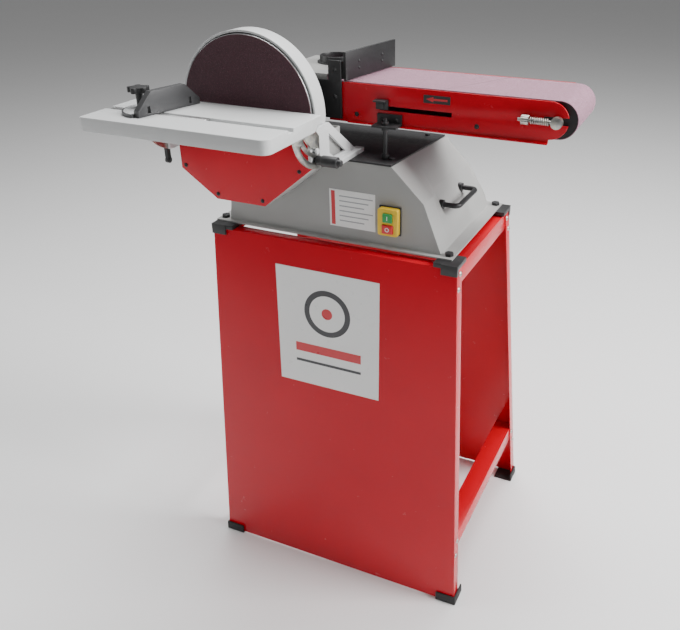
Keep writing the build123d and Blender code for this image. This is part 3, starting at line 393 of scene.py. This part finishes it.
@dataclass(frozen=True)
class Grit(Finish):
    """Resin-bonded abrasive grain with dark gaps, painted glints on the brightest grains and loaded dust."""

    grains: float = 1500.0
    painted_glint: Colour = (0.5, 0.4, 0.4)
    dust: Colour = (0.6, 0.5, 0.42)
    splice: bool = False

    def write(self, surface: Surface) -> None:
        """Grain, painted glints, dust and, on a belt, the slanting splice."""
        gap = surface.cells(self.grains)
        shade = surface.grain_shade(self.grains)
        tone = surface.mix(shade, self.shade(0.62), self.shade(1.35))
        # Painted glint: the brightest grains are blended towards a light colour as if they caught the lamp.
        tone = surface.mix(surface.ramp(shade, 0.86, 0.93) * 0.7, tone, self.painted_glint)
        bands = surface.noise(9.0, 5.0, 0.6, surface.stretched((0.35, 1.6, 1.0)))
        tone = surface.mix(surface.ramp(bands, 0.5, 0.85) * 0.16, tone, self.dust)
        height = 1.0 - gap * 1.2
        if self.splice:
            slant = (surface.axis("X") - surface.axis("Y") * 0.55 - 0.155).size()
            seam = 1.0 - surface.ramp(slant, 0.0008, 0.0022)
            tone = surface.mix(seam * 0.55, tone, self.shade(0.4))
            height = height - seam * 0.7
        surface.feed(Base_Color=tone, Roughness=surface.span(shade, 0.62, 0.92))
        surface.bump(height + surface.noise(self.grains * 0.35, 3.0), 0.00035)


@dataclass(frozen=True)
class Machined(Finish):
    """Turned or ground metal with fine tool lines, stains and small scratches."""

    roughness: float = 0.27
    lines: tuple[float, float, float] = (30.0, 2600.0, 30.0)
    stain: Colour = (0.3, 0.27, 0.24)

    def write(self, surface: Surface) -> None:
        """Lines, stains and a changing polish."""
        tool = surface.noise(1.0, 2.0, 0.5, surface.stretched(self.lines))
        stain = surface.ramp(surface.noise(45.0, 6.0, 0.7), 0.55, 0.82)
        turned = surface.mix(tool, self.shade(0.85), self.colour)
        surface.feed(Base_Color=surface.mix(stain * 0.4, turned, self.stain))
        worn = surface.span(tool + stain, self.roughness - 0.05, self.roughness + 0.16)
        surface.feed(Metallic=1.0, Roughness=worn)
        surface.bump(tool, 0.00003)


@dataclass(frozen=True)
class Zinc(Finish):
    """Bright zinc plate with a cloudy passivated film."""

    def write(self, surface: Surface) -> None:
        """Cloudy plate."""
        cloud = surface.noise(150.0, 5.0, 0.6)
        film = surface.mix(surface.ramp(cloud, 0.4, 0.75), self.colour, (0.62, 0.6, 0.5))
        surface.feed(Base_Color=film, Metallic=1.0, Roughness=surface.span(cloud, 0.24, 0.46))
        surface.bump(surface.noise(1200.0, 3.0), 0.00003)


@dataclass(frozen=True)
class Moulded(Finish):
    """Moulded plastic or rubber with a fine spark-eroded grain."""

    roughness: float = 0.42
    grain: float = 0.00005
    wear: Colour = (0.3, 0.3, 0.3)

    def write(self, surface: Surface) -> None:
        """Grain and a little handling wear."""
        wear = surface.ramp(surface.noise(60.0, 6.0, 0.7), 0.56, 0.85) * 0.16
        surface.feed(Base_Color=surface.mix(wear, self.colour, self.wear))
        haze = surface.noise(180.0, 4.0)
        surface.feed(Roughness=surface.span(haze, self.roughness - 0.08, self.roughness + 0.12))
        surface.bump(surface.noise(2300.0, 2.0) + surface.noise(300.0, 2.0) * 0.4, self.grain)


@dataclass(frozen=True)
class Film(Finish):
    """Printed label film with a slightly wavy gloss."""

    def write(self, surface: Surface) -> None:
        """Film, faint yellowing and fingerprints."""
        surface.feed(Base_Color=surface.mix(surface.noise(12.0, 4.0), self.shade(0.95), self.colour))
        surface.feed(Roughness=surface.span(surface.noise(55.0, 5.0, 0.65), 0.2, 0.4), Coat_Weight=0.2)
        surface.bump(surface.noise(70.0, 2.0), 0.00006)


FINISHES: dict[Slot, Finish] = {
    Slot.RED_PAINT: GlossPaint("red gloss paint", (0.54, 0.0003, 0.012), dust=(0.4, 0.02, 0.03)),
    Slot.GREY_PAINT: GlossPaint("grey gloss paint", (0.36, 0.36, 0.35), roughness=0.3),
    Slot.CAST_GREY: CastPaint("light grey casting", (0.6, 0.61, 0.61)),
    Slot.DARK_CAST: CastPaint("dark casting", (0.05, 0.05, 0.052), roughness=0.4, lumps=0.0003, grime=0.3),
    Slot.BLACK_STEEL: PowderCoat("black powder coat", (0.011, 0.011, 0.012)),
    Slot.BLACK_PLASTIC: Moulded("black moulding", (0.02, 0.02, 0.021), wear=(0.12, 0.12, 0.12)),
    Slot.RUBBER: Moulded("black rubber", (0.018, 0.018, 0.018), roughness=0.66, grain=0.00012,
                         wear=(0.16, 0.15, 0.14)),
    Slot.ZINC: Zinc("zinc plate", (0.42, 0.42, 0.41)),
    Slot.BRIGHT_STEEL: Machined("ground steel", (0.6, 0.6, 0.6)),
    Slot.MACHINED: Machined("turned aluminium", (0.8, 0.8, 0.81), roughness=0.24),
    # Both grits carry a light painted glint colour on their brightest grains.
    Slot.DISC_GRIT: Grit("disc grit", (0.062, 0.018, 0.028), grains=1500.0, painted_glint=(0.15, 0.07, 0.09),
                         dust=(0.12, 0.06, 0.06)),
    Slot.BELT_GRIT: Grit("belt grit", (0.33, 0.17, 0.23), grains=1350.0, painted_glint=(0.6, 0.42, 0.5),
                         dust=(0.5, 0.36, 0.4), splice=True),
    Slot.YELLOW: Moulded("yellow moulding", (0.8, 0.52, 0.02), roughness=0.34, wear=(0.6, 0.5, 0.3)),
    Slot.GREEN: Moulded("green moulding", (0.02, 0.3, 0.07), roughness=0.3, wear=(0.3, 0.4, 0.3)),
    Slot.RED_PLASTIC: Moulded("red moulding", (0.62, 0.02, 0.02), roughness=0.3, wear=(0.6, 0.3, 0.3)),
    Slot.LABEL: Film("white label film", (0.84, 0.84, 0.83)),
}


class Palette:
    """Builds each finish once and hands out its material."""

    def __init__(self) -> None:
        """Build every slot's material."""
        self.materials = {slot: finish.build() for slot, finish in FINISHES.items()}
        # Dark ink prints marks and also paints the shade inside the screw heads' cross recesses.
        self.dark_ink_and_shade = Film("dark ink and painted shade", (0.03, 0.03, 0.035)).build()
        self.red_ink = Film("red ink", (0.6, 0.02, 0.03)).build()
        self.grey_ink = Film("grey ink", (0.35, 0.36, 0.37)).build()

    def of(self, slot: Slot) -> bpy.types.Material:
        """Material of a slot."""
        return self.materials[slot]


# ---- mesh helpers ----
class Bench:
    """Makes and places the pieces."""

    def __init__(self, palette: Palette) -> None:
        """Read which slot and body each CAD node has."""
        self.palette = palette
        record = frame["record"]
        self.slots = {part["node"]: Slot(part["material_slot"]) for part in record["subparts"]}
        bodies = record["behaviour"]["bodies"]
        self.bodies = {node: body for body, nodes in bodies.items() for node in nodes}

    def dress(self, node: str) -> bpy.types.Object:
        """Give a CAD node its finish.

        Args:
            node: Name of the CAD node.

        Returns:
            The node's object.
        """
        shown = frame["nodes"][node]
        shown.data.materials.clear()
        shown.data.materials.append(self.palette.of(self.slots[node]))
        log.info("dressed %s", node)
        return shown

    def bevelled(self, node: str, width: float, segments: int = 2, slot: Union[Slot, None] = None,
                 sharp: float = 32.0) -> bpy.types.Object:
        """Replace a CAD node by a copy whose sharp edges are rounded.

        Args:
            node: Name of the CAD node.
            width: Bevel width in metres.
            segments: Bevel segments.
            slot: Finish, if not the node's own.
            sharp: Angle in degrees above which an edge is rounded.

        Returns:
            The new piece.
        """
        mesh = bpy.data.meshes.new(f"{node}_shape")
        shape = bmesh.new()
        shape.from_mesh(frame["nodes"][node].data)
        bmesh.ops.remove_doubles(shape, verts=shape.verts, dist=2e-6)
        bmesh.ops.dissolve_limit(shape, angle_limit=radians(0.6), verts=shape.verts, edges=shape.edges)
        shape.to_mesh(mesh)
        shape.free()
        piece = bpy.data.objects.new(f"{node}_finished", mesh)
        bpy.context.scene.collection.objects.link(piece)
        bevel = piece.modifiers.new("edges", "BEVEL")
        bevel.width = width
        bevel.segments = segments
        bevel.limit_method = "ANGLE"
        bevel.angle_limit = radians(sharp)
        bevel.harden_normals = False
        bevel.use_clamp_overlap = True
        self.apply(piece)
        piece.data.shade_smooth()
        piece.data.set_sharp_from_angle(angle=radians(sharp))
        return self.settle(piece, node, slot or self.slots[node])

    @staticmethod
    def apply(piece: bpy.types.Object) -> None:
        """Turn a piece's modifiers into its mesh."""
        graph = bpy.context.evaluated_depsgraph_get()
        piece.data = bpy.data.meshes.new_from_object(piece.evaluated_get(graph))
        piece.modifiers.clear()

    def settle(self, piece: bpy.types.Object, node: str, slot: Slot) -> bpy.types.Object:
        """Let a piece ride on its node's body, stand for the node and carry its finish.

        Args:
            piece: The piece.
            node: CAD node it stands for.
            slot: Slot whose finish it carries.

        Returns:
            The same piece.
        """
        piece.data.materials.clear()
        piece.data.materials.append(self.palette.of(slot))
        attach(piece, self.bodies[node])
        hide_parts(node)
        log.info("rounded %s", node)
        return piece

    def add(self, name: str, verts: Iterable[Vector], faces: Iterable[Sequence[int]], body: str, slot: Slot,
            material: Union[bpy.types.Material, None] = None, smooth: bool = False,
            bevel: float = 0.0) -> bpy.types.Object:
        """Add a small new piece.

        Args:
            name: Piece name.
            verts: Corners in metres.
            faces: Corner numbers of each face.
            body: CAD body to ride on.
            slot: Slot the piece takes its finish from.
            material: Material, if not the slot's own.
            smooth: Whether round faces shade smoothly.
            bevel: Edge rounding in metres.

        Returns:
            The new piece.
        """
        mesh = bpy.data.meshes.new(name)
        mesh.from_pydata([tuple(v) for v in verts], [], [tuple(f) for f in faces])
        shape = bmesh.new()
        shape.from_mesh(mesh)
        bmesh.ops.recalc_face_normals(shape, faces=shape.faces)
        shape.to_mesh(mesh)
        shape.free()
        piece = bpy.data.objects.new(name, mesh)
        bpy.context.scene.collection.objects.link(piece)
        if bevel:
            rounding = piece.modifiers.new("edges", "BEVEL")
            rounding.width = bevel
            rounding.segments = 2
            rounding.limit_method = "ANGLE"
            self.apply(piece)
        if smooth or bevel:
            piece.data.shade_smooth()
            piece.data.set_sharp_from_angle(angle=radians(35))
        piece.data.materials.append(material or self.palette.of(slot))
        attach(piece, body)
        log.info("added %s", name)
        return piece

    def slab(self, name: str, outline: Sequence[tuple[float, float]], origin: Vector, across: Vector,
             up: Vector, thick: float, body: str, slot: Slot,
             material: Union[bpy.types.Material, None] = None, bevel: float = 0.0) -> bpy.types.Object:
        """Add a thin plate with a flat outline.

        Args:
            name: Piece name.
            outline: Corners in the plate's plane, in metres.
            origin: Centre of the plate's back.
            across: Unit vector of the outline's first coordinate.
            up: Unit vector of the outline's second coordinate.
            thick: Thickness along across x up.
            body: CAD body to ride on.
            slot: Slot the piece takes its finish from.
            material: Material, if not the slot's own.
            bevel: Edge rounding.

        Returns:
            The new piece.
        """
        out = across.cross(up).normalized()
        back = [origin + across * a + up * b for a, b in outline]
        front = [corner + out * thick for corner in back]
        count = len(back)
        faces = [list(range(count)), list(range(2 * count - 1, count - 1, -1))]
        faces += [[i, (i + 1) % count, count + (i + 1) % count, count + i] for i in range(count)]
        return self.add(name, back + front, faces, body, slot, material, bevel=bevel)

    def paint_cross_shade(self, node: str, out: Vector, body: str, arm: float = 0.0026, width: float = 0.0007) -> None:
        """Paint the shade of the cross recess as a dark cross on each screw head of a node that faces one way.

        Args:
            node: Name of the screws' CAD node.
            out: Direction the heads face.
            body: CAD body to ride on.
            arm: Half length of the recess.
            width: Width of the recess.
        """
        shape = bmesh.new()
        shape.from_mesh(frame["nodes"][node].data)
        bmesh.ops.remove_doubles(shape, verts=shape.verts, dist=2e-6)
        unseen = set(shape.verts)
        verts: list[Vector] = []
        faces: list[tuple[int, ...]] = []
        side = out.cross(Z).normalized()
        while unseen:
            island, front = [], [unseen.pop()]
            while front:
                vert = front.pop()
                island.append(vert.co)
                for edge in vert.link_edges:
                    other = edge.other_vert(vert)
                    if other in unseen:
                        unseen.remove(other)
                        front.append(other)
            reach = max(co.dot(out) for co in island)
            width_out = max(co.dot(side) for co in island) - min(co.dot(side) for co in island)
            length = reach - min(co.dot(out) for co in island)
            middle = sum(island, Vector()) / len(island)
            if width_out > length * 2.6 or width_out < length * 0.9:
                continue
            apex = middle + out * (reach - middle.dot(out))
            for along, across in ((side, Z), (Z, side)):
                start = len(verts)
                for depth in (-0.0009, 0.00006):
                    verts += [apex + out * depth + along * (a * arm) + across * (b * width / 2)
                              for a, b in ((-1, -1), (1, -1), (1, 1), (-1, 1))]
                faces += [(start, start + 1, start + 2, start + 3),
                          (start + 4, start + 5, start + 6, start + 7)]
                faces += [(start + i, start + (i + 1) % 4, start + 4 + (i + 1) % 4, start + 4 + i)
                          for i in range(4)]
        shape.free()
        # Painted shade: each cross is a thin dark block at the head's face, where the recess's shade would fall.
        if verts:
            tag = "right" if out.x > 0 else "left" if out.x < 0 else "front"
            self.add(f"{node}_recess_{tag}", verts, faces, body, self.slots[node], self.palette.dark_ink_and_shade)

    def tube(self, name: str, path: Sequence[Vector], radius: float, body: str, slot: Slot,
             sides: int = 10) -> bpy.types.Object:
        """Add a round bar along a path of points.

        Args:
            name: Piece name.
            path: Centre line in metres.
            radius: Bar radius in metres.
            body: CAD body to ride on.
            slot: Slot the piece takes its finish from.
            sides: Corners round the bar.

        Returns:
            The new piece.
        """
        curve = bpy.data.curves.new(name, "CURVE")
        curve.dimensions = "3D"
        curve.bevel_depth = radius
        curve.bevel_resolution = sides // 4
        curve.use_fill_caps = True
        spline = curve.splines.new("POLY")
        spline.points.add(len(path) - 1)
        for point, place in zip(spline.points, path):
            point.co = (*place, 1.0)
        made = bpy.data.objects.new(name + "_curve", curve)
        bpy.context.scene.collection.objects.link(made)
        mesh = bpy.data.meshes.new_from_object(made.evaluated_get(bpy.context.evaluated_depsgraph_get()))
        bpy.data.objects.remove(made)
        piece = bpy.data.objects.new(name, mesh)
        bpy.context.scene.collection.objects.link(piece)
        mesh.shade_smooth()
        mesh.materials.clear()
        mesh.materials.append(self.palette.of(slot))
        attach(piece, body)
        return piece


def rectangle(width: float, height: float) -> list[tuple[float, float]]:
    """Corners of a centred rectangle.

    Args:
        width: Size along the first coordinate.
        height: Size along the second.

    Returns:
        Four corners.
    """
    half, rise = width / 2, height / 2
    return [(-half, -rise), (half, -rise), (half, rise), (-half, rise)]


def ring_outline(radius: float, count: int = 40) -> list[tuple[float, float]]:
    """Points of a circle.

    Args:
        radius: Radius in metres.
        count: Number of points.

    Returns:
        The points in order.
    """
    return [(radius * cos(2 * pi * i / count), radius * sin(2 * pi * i / count)) for i in range(count)]


def arrow_outline(length: float, height: float) -> list[tuple[float, float]]:
    """Plain arrow that points to -X.

    Args:
        length: Tip to tail in metres.
        height: Width of the head.

    Returns:
        Its seven corners.
    """
    half, head = length / 2, length * 0.34
    return [(-half, 0), (-half + head, height / 2), (-half + head, height / 5), (half, height / 5),
            (half, -height / 5), (-half + head, -height / 5), (-half + head, -height / 2)]


X, Y, Z = Vector((1, 0, 0)), Vector((0, 1, 0)), Vector((0, 0, 1))


# ---- sub-assemblies ----
@dataclass
class SheetStand:
    """Folded sheet stand with its rails, shoes, pads and front plate."""

    bench: Bench
    fold: float = 0.0014
    shoe_round: float = 0.0025
    ink: float = 0.0003
    plate_width: float = 0.230
    plate_rise: float = 0.133

    def make(self) -> None:
        """Build the stand's pieces."""
        for node in ("stand_front_panel", "stand_rear_panel", "stand_side_rails"):
            self.bench.bevelled(node, self.fold, 3)
        for node in ("feet", "corner_pads"):
            self.bench.bevelled(node, self.shoe_round, 3)
        self.bench.dress("stand_screws")
        # Dark crosses painted as the shade in the screw heads' cross recesses.
        for way in (X, -X):
            self.bench.paint_cross_shade("stand_screws", way, "frame")
        self.bench.bevelled("labels", 0.0002, 1)
        self.front_plate()

    def front_plate(self) -> None:
        """Plain pictogram of a disc over a belt, on the front plate."""
        label_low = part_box("labels")[0]
        centre_z = label_low.z + self.plate_rise
        up = Vector((0, self.lean(), 1)).normalized()
        centre = Vector((label_low.x + self.plate_width / 2, self.plate_face(centre_z), centre_z))
        palette = self.bench.palette
        disc = centre + up * 0.042
        prints = (
            ("plate_disc", ring_outline(0.052, 56), disc, 1, palette.dark_ink_and_shade),
            ("plate_disc_middle", ring_outline(0.040, 48), disc, 2, palette.of(Slot.LABEL)),
            ("plate_disc_hub", ring_outline(0.012, 32), disc, 3, palette.red_ink),
            ("plate_belt", rectangle(0.150, 0.020), centre - up * 0.046, 1, palette.red_ink),
            ("plate_foot_line", rectangle(0.150, 0.006), centre - up * 0.078, 1, palette.dark_ink_and_shade),
        )
        for name, outline, origin, layers, ink in prints:
            self.bench.slab(name, outline, origin, X, up, self.ink * layers, "frame", Slot.LABEL, ink)

    def points(self) -> list[Vector]:
        """Corners of the front panel's mesh."""
        return [v.co for v in frame["nodes"]["stand_front_panel"].data.vertices]

    def lean(self) -> float:
        """Backward lean of the front panel per metre of height."""
        outer = sorted(self.points(), key=lambda p: (round(p.y, 4), p.z))
        foot = outer[0]
        top = min((p for p in self.points() if p.z > foot.z + 0.7), key=lambda p: p.y)
        return (top.y - foot.y) / (top.z - foot.z)

    def plate_face(self, height: float) -> float:
        """Y of the front plate's face at a height.

        Args:
            height: Height above the floor in metres.

        Returns:
            The face's Y in metres.
        """
        foot = min(self.points(), key=lambda p: p.y)
        return foot.y + self.lean() * (height - foot.z) - 0.0011


@dataclass
class GreyHousing:
    """Housing, top plate, handle, bolts and the rating plate's print."""

    bench: Bench
    soft: float = 0.005
    lines: int = 6

    def make(self) -> None:
        """Build the housing's pieces."""
        self.bench.bevelled("housing", self.soft, 4, sharp=16.0)
        self.bench.bevelled("top_plate", 0.0012, 2)
        self.bench.bevelled("housing_bolts", 0.0005, 2)
        self.bench.bevelled("carry_handle", 0.0008, 2)
        for node in ("base_plate", "motor", "motor_shaft", "motor_pulley", "drive_belt"):
            self.bench.dress(node)
        self.print_lines()

    def print_lines(self) -> None:
        """Rows of plain bars and a coloured band on the rating plate."""
        width, height = 0.096, 0.074
        ink, margin, full_line, pitch = 0.0002, 0.008, 0.070, 0.0098
        right_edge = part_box("switch_body")[0].x - 0.011
        centre = Vector((right_edge - width / 2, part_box("switch_back")[1].y - 0.0008,
                         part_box("labels")[1].z - height / 2))
        palette = self.bench.palette
        band = centre - X * (width / 2 - margin)
        self.bench.slab("rating_band", rectangle(margin, height - 0.006), band, X, Z, ink, "frame",
                        Slot.LABEL, palette.red_ink)
        for row in range(self.lines):
            length = full_line - 0.009 * (row % 3)
            rise = height / 2 - 0.012 - row * pitch
            place = centre + Z * rise + X * (margin - (full_line - length) / 2)
            self.bench.slab(f"rating_line_{row}", rectangle(length, 0.0022), place, X, Z, ink, "frame",
                            Slot.LABEL, palette.grey_ink)


@dataclass
class DiscUnit:
    """Disc, guard, shroud, cover, bearings and shaft."""

    bench: Bench
    cast_round: float = 0.0022

    def make(self) -> None:
        """Build the disc end."""
        for node in ("abrasive_disc", "spindle_shaft", "spindle_pulley", "drive_roller", "spindle_bearings"):
            self.bench.dress(node)
        self.bench.bevelled("disc_plate", 0.0008, 3)
        for node in ("disc_guard", "table_bracket_right", "table_bracket_left"):
            self.bench.bevelled(node, self.cast_round, 3)
        for node in ("front_bearing_block", "rear_bearing_block"):
            self.bench.bevelled(node, 0.0018, 3)
        self.bench.bevelled("disc_shroud", 0.0008, 2)
        self.bench.bevelled("lower_cover", 0.0009, 3)
        self.bench.bevelled("belt_guard", 0.0010, 2)
        self.bench.dress("cover_screws")
        # Dark crosses painted as the shade in the screw heads' cross recesses.
        self.bench.paint_cross_shade("cover_screws", -Y, "frame", 0.0018, 0.0005)
        self.lock_lever()

    def lock_lever(self) -> None:
        """Lever with its red ball."""
        self.bench.bevelled("lock_lever", 0.0006, 2)
        low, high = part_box("lock_lever")
        radius = 0.0083
        centre = Vector((low.x + 0.008, low.y + 0.005, high.z - 0.008))
        verts, faces = ball(centre, radius * 0.99, 20, 12)
        self.bench.add("lock_ball", verts, faces, "lock_lever", Slot.RED_PLASTIC, smooth=True)


@dataclass
class WorkTable:
    """Tilting disc table, its trunnions and clamp levers."""

    bench: Bench

    def make(self) -> None:
        """Build the table."""
        self.bench.bevelled("disc_table", 0.0016, 3)
        self.bench.bevelled("table_trunnions", 0.0005, 2)
        for node in ("clamp_lever_right", "clamp_lever_left"):
            self.bench.bevelled(node, 0.0014, 3)


@dataclass
class MitreGauge:
    """Mitre gauge: bar, head, scale and star knob."""

    bench: Bench
    ticks: int = 17
    scale_radius: float = 0.040

    def make(self) -> None:
        """Build the gauge."""
        self.bench.bevelled("mitre_bar", 0.0005, 2)
        self.bench.bevelled("mitre_head", 0.0012, 3, slot=Slot.DARK_CAST)
        self.bench.bevelled("mitre_knob", 0.0016, 3)
        self.scale()

    def scale(self) -> None:
        """Pale scale plate with short tick marks round the pivot."""
        pin = frame_joint("gauge_swivel")
        centre = Vector((pin.x, pin.y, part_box("mitre_head")[0].z + 0.005))
        rim, start, sweep, steps = 0.043, 84, 192, 40
        outline = [(rim * cos(a), rim * sin(a))
                   for a in (radians(start + i * sweep / steps) for i in range(steps + 1))]
        turn = radians(-12)
        across = Vector((cos(turn), sin(turn), 0))
        along = Vector((-sin(turn), cos(turn), 0))
        self.bench.slab("gauge_scale", outline, centre, across, along, 0.0003, "gauge_head", Slot.CAST_GREY)
        for index in range(self.ticks):
            angle = radians(100 + index * 160 / (self.ticks - 1))
            out = across * cos(angle) + along * sin(angle)
            spot = (centre + across * (self.scale_radius * cos(angle))
                    + along * (self.scale_radius * sin(angle)))
            side = across * -sin(angle) + along * cos(angle)
            self.bench.slab(f"gauge_tick_{index}", rectangle(0.0045, 0.0006), spot + Z * 0.0003, out, side,
                            0.0002, "gauge_head", Slot.LABEL, self.bench.palette.dark_ink_and_shade)


@dataclass
class BeltArm:
    """Belt arm with its plates, fence, hood, rollers, spring and direction plate."""

    bench: Bench
    spring_turns: int = 9
    wire: float = 0.0011
    coil: float = 0.0052

    def make(self) -> None:
        """Build the arm."""
        for node in ("arm_front_plate", "arm_rear_plate"):
            self.bench.bevelled(node, 0.0009, 3)
        for node in ("arm_pivot_plate", "fence", "stop_bracket", "stop_bolt", "tension_lever"):
            self.bench.bevelled(node, 0.0007, 2)
        self.bench.bevelled("dust_hood", 0.0008, 2)
        self.bench.bevelled("dust_port", 0.0008, 2)
        self.bench.bevelled("idler_axle", 0.0006, 2)
        self.bench.bevelled("tracking_knob", 0.0005, 2)
        self.bench.bevelled("sanding_belt", 0.0002, 1)
        for node in ("arm_ties", "arm_screws", "idler_roller"):
            self.bench.dress(node)
        self.bench.bevelled("arrow_plate", 0.0002, 1, slot=Slot.BLACK_PLASTIC)
        self.arrow()
        self.spring()

    def arrow(self) -> None:
        """Red arrow on the direction plate."""
        low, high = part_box("arrow_plate")
        centre = Vector(((low.x + high.x) / 2, low.y, (low.z + high.z) / 2))
        self.bench.slab("arrow_mark", arrow_outline(0.040, 0.009), centre, X, Z, 0.00025, "belt_arm",
                        Slot.LABEL, self.bench.palette.red_ink)

    def spring(self) -> None:
        """Coil spring on the tracking rod, in place of the plain rings."""
        low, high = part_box("tracking_spring")
        centre_y, centre_z = (low.y + high.y) / 2, (low.z + high.z) / 2
        start, end = low.x + self.wire, high.x - self.wire
        steps = self.spring_turns * 18
        path = []
        for index in range(steps + 1):
            share = index / steps
            angle = 2 * pi * self.spring_turns * share
            path.append(Vector((start + (end - start) * share, centre_y + self.coil * cos(angle),
                                centre_z + self.coil * sin(angle))))
        piece = self.bench.tube("spring_coil", path, self.wire, "idler_carriage", Slot.ZINC)
        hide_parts("tracking_spring")


@dataclass
class Controls:
    """Switch frame, its backing and the two buttons with their plain marks."""

    bench: Bench
    mark: float = 0.0004

    def make(self) -> None:
        """Build the switch."""
        self.bench.bevelled("switch_back", 0.0010, 3)
        self.bench.bevelled("switch_body", 0.0012, 3)
        for node in ("start_button", "stop_button"):
            self.bench.bevelled(node, 0.0014, 3)
        self.marks()

    def marks(self) -> None:
        """A bar on the start button and a ring on the stop button."""
        white = self.bench.palette.of(Slot.LABEL)
        start, stop = self.face("start_button"), self.face("stop_button")
        self.bench.slab("start_bar", rectangle(0.0014, 0.008), start, X, Z, self.mark, "start_button",
                        Slot.LABEL, white)
        count = 32
        verts = []
        for points in (ring_outline(0.0042, count), ring_outline(0.0029, count)):
            for depth in (0.0, self.mark):
                verts += [stop + X * a + Z * b - Y * depth for a, b in points]
        front, bore, bore_front = count, 2 * count, 3 * count
        faces = []
        for i in range(count):
            j = (i + 1) % count
            faces += [(i, j, front + j, front + i), (bore + j, bore + i, bore_front + i, bore_front + j),
                      (front + i, front + j, bore_front + j, bore_front + i), (j, i, bore + i, bore + j)]
        self.bench.add("stop_ring", verts, faces, "stop_button", Slot.LABEL, white)

    @staticmethod
    def face(node: str) -> Vector:
        """Middle of a button's front face.

        Args:
            node: Name of the button's CAD node.

        Returns:
            The point in metres.
        """
        low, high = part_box(node)
        return Vector(((low.x + high.x) / 2, low.y, (low.z + high.z) / 2))


def ball(centre: Vector, radius: float, around: int, rows: int) -> tuple[list[Vector], list[tuple[int, ...]]]:
    """Corners and faces of a ball.

    Args:
        centre: Centre in metres.
        radius: Radius in metres.
        around: Corners per row.
        rows: Rows from pole to pole.

    Returns:
        The corners and the faces.
    """
    verts = [centre + Z * radius]
    for row in range(1, rows):
        polar = pi * row / rows
        for step in range(around):
            angle = 2 * pi * step / around
            verts.append(centre + Vector((radius * sin(polar) * cos(angle), radius * sin(polar) * sin(angle),
                                          radius * cos(polar))))
    verts.append(centre - Z * radius)
    last = len(verts) - 1
    faces: list[tuple[int, ...]] = []
    for step in range(around):
        after = (step + 1) % around
        faces.append((0, 1 + step, 1 + after))
        faces.append((last, last - around + after, last - around + step))
        for row in range(rows - 2):
            a = 1 + row * around
            faces.append((a + step, a + around + step, a + around + after, a + after))
    return verts, faces


def frame_joint(name: str) -> Vector:
    """Position of a named joint.

    Args:
        name: Joint name in the record.

    Returns:
        The joint's point in metres.
    """
    return next(Vector(joint["pos_m"]) for joint in frame["joints"] if joint["name"] == name)


# ---- stage ----
@dataclass
class Studio:
    """Pale floor, soft lights, plain world and the camera."""

    place: tuple[float, float, float] = (0.767, -1.137, 1.410)
    yaw: float = 23.9
    drop: float = 28.4
    lens: float = 40.86
    shift: float = -0.066
    reach: float = 30.0
    glow: float = 0.22
    aim: tuple[float, float, float] = (0.1, 0.1, 0.7)
    lights: list[tuple[str, tuple[float, float, float], float, float]] = field(default_factory=lambda: [
        ("key", (3.0, 0.4, 2.5), 1.5, 190.0),
        ("top", (-0.1, 0.9, 3.8), 2.4, 170.0),
        ("fill", (-2.9, -1.2, 1.3), 1.4, 22.0),
    ])

    def make(self) -> None:
        """Build the stage."""
        self.camera()
        self.floor()
        for name, spot, size, power in self.lights:
            self.light(name, Vector(spot), size, power)
        world = bpy.data.worlds.new("studio")
        bpy.context.scene.world = world
        world.use_nodes = True
        background = world.node_tree.nodes["Background"]
        background.inputs[0].default_value = (1.0, 1.0, 1.0, 1.0)
        background.inputs[1].default_value = self.glow

    def camera(self) -> None:
        """Camera at the working angle, placed from the spindle."""
        spindle = frame_joint("spindle_spin")
        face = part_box("abrasive_disc")[0].y
        data = bpy.data.cameras.new("camera")
        data.lens = self.lens
        data.shift_x = self.shift
        data.clip_end = 20.0
        camera = bpy.data.objects.new("camera", data)
        bpy.context.scene.collection.objects.link(camera)
        camera.location = (spindle.x + self.place[0], face + self.place[1], self.place[2])
        camera.rotation_euler = (radians(90 - self.drop), 0.0, radians(self.yaw))
        bpy.context.scene.camera = camera

    def floor(self) -> None:
        """Large pale floor."""
        mesh = bpy.data.meshes.new("floor")
        corners = [(x * self.reach, y * self.reach, 0) for x, y in ((-1, -1), (1, -1), (1, 1), (-1, 1))]
        mesh.from_pydata(corners, [], [(0, 1, 2, 3)])
        floor = bpy.data.objects.new("floor", mesh)
        bpy.context.scene.collection.objects.link(floor)
        surface = Surface("floor")
        tone = surface.mix(surface.noise(3.0), (0.88, 0.88, 0.88), (0.9, 0.9, 0.9))
        surface.feed(Base_Color=tone, Roughness=0.8)
        mesh.materials.append(surface.material)

    def light(self, name: str, spot: Vector, size: float, power: float) -> None:
        """One soft square light aimed at the machine.

        Args:
            name: Light name.
            spot: Its place in metres.
            size: Side of the square in metres.
            power: Power in watts.
        """
        data = bpy.data.lights.new(name, "AREA")
        data.shape = "SQUARE"
        data.size = size
        data.energy = power
        lamp = bpy.data.objects.new(name, data)
        bpy.context.scene.collection.objects.link(lamp)
        lamp.location = spot
        lamp.rotation_euler = (Vector(self.aim) - spot).to_track_quat("-Z", "Y").to_euler()


def main() -> None:
    """Build the machine's looks."""
    logging.basicConfig(level=logging.INFO, format="%(message)s")
    Studio().make()
    bench = Bench(Palette())
    for assembly in (SheetStand, GreyHousing, DiscUnit, WorkTable, MitreGauge, BeltArm, Controls):
        log.info("building %s", assembly.__name__)
        assembly(bench).make()


if __name__ == "__main__":
    main()
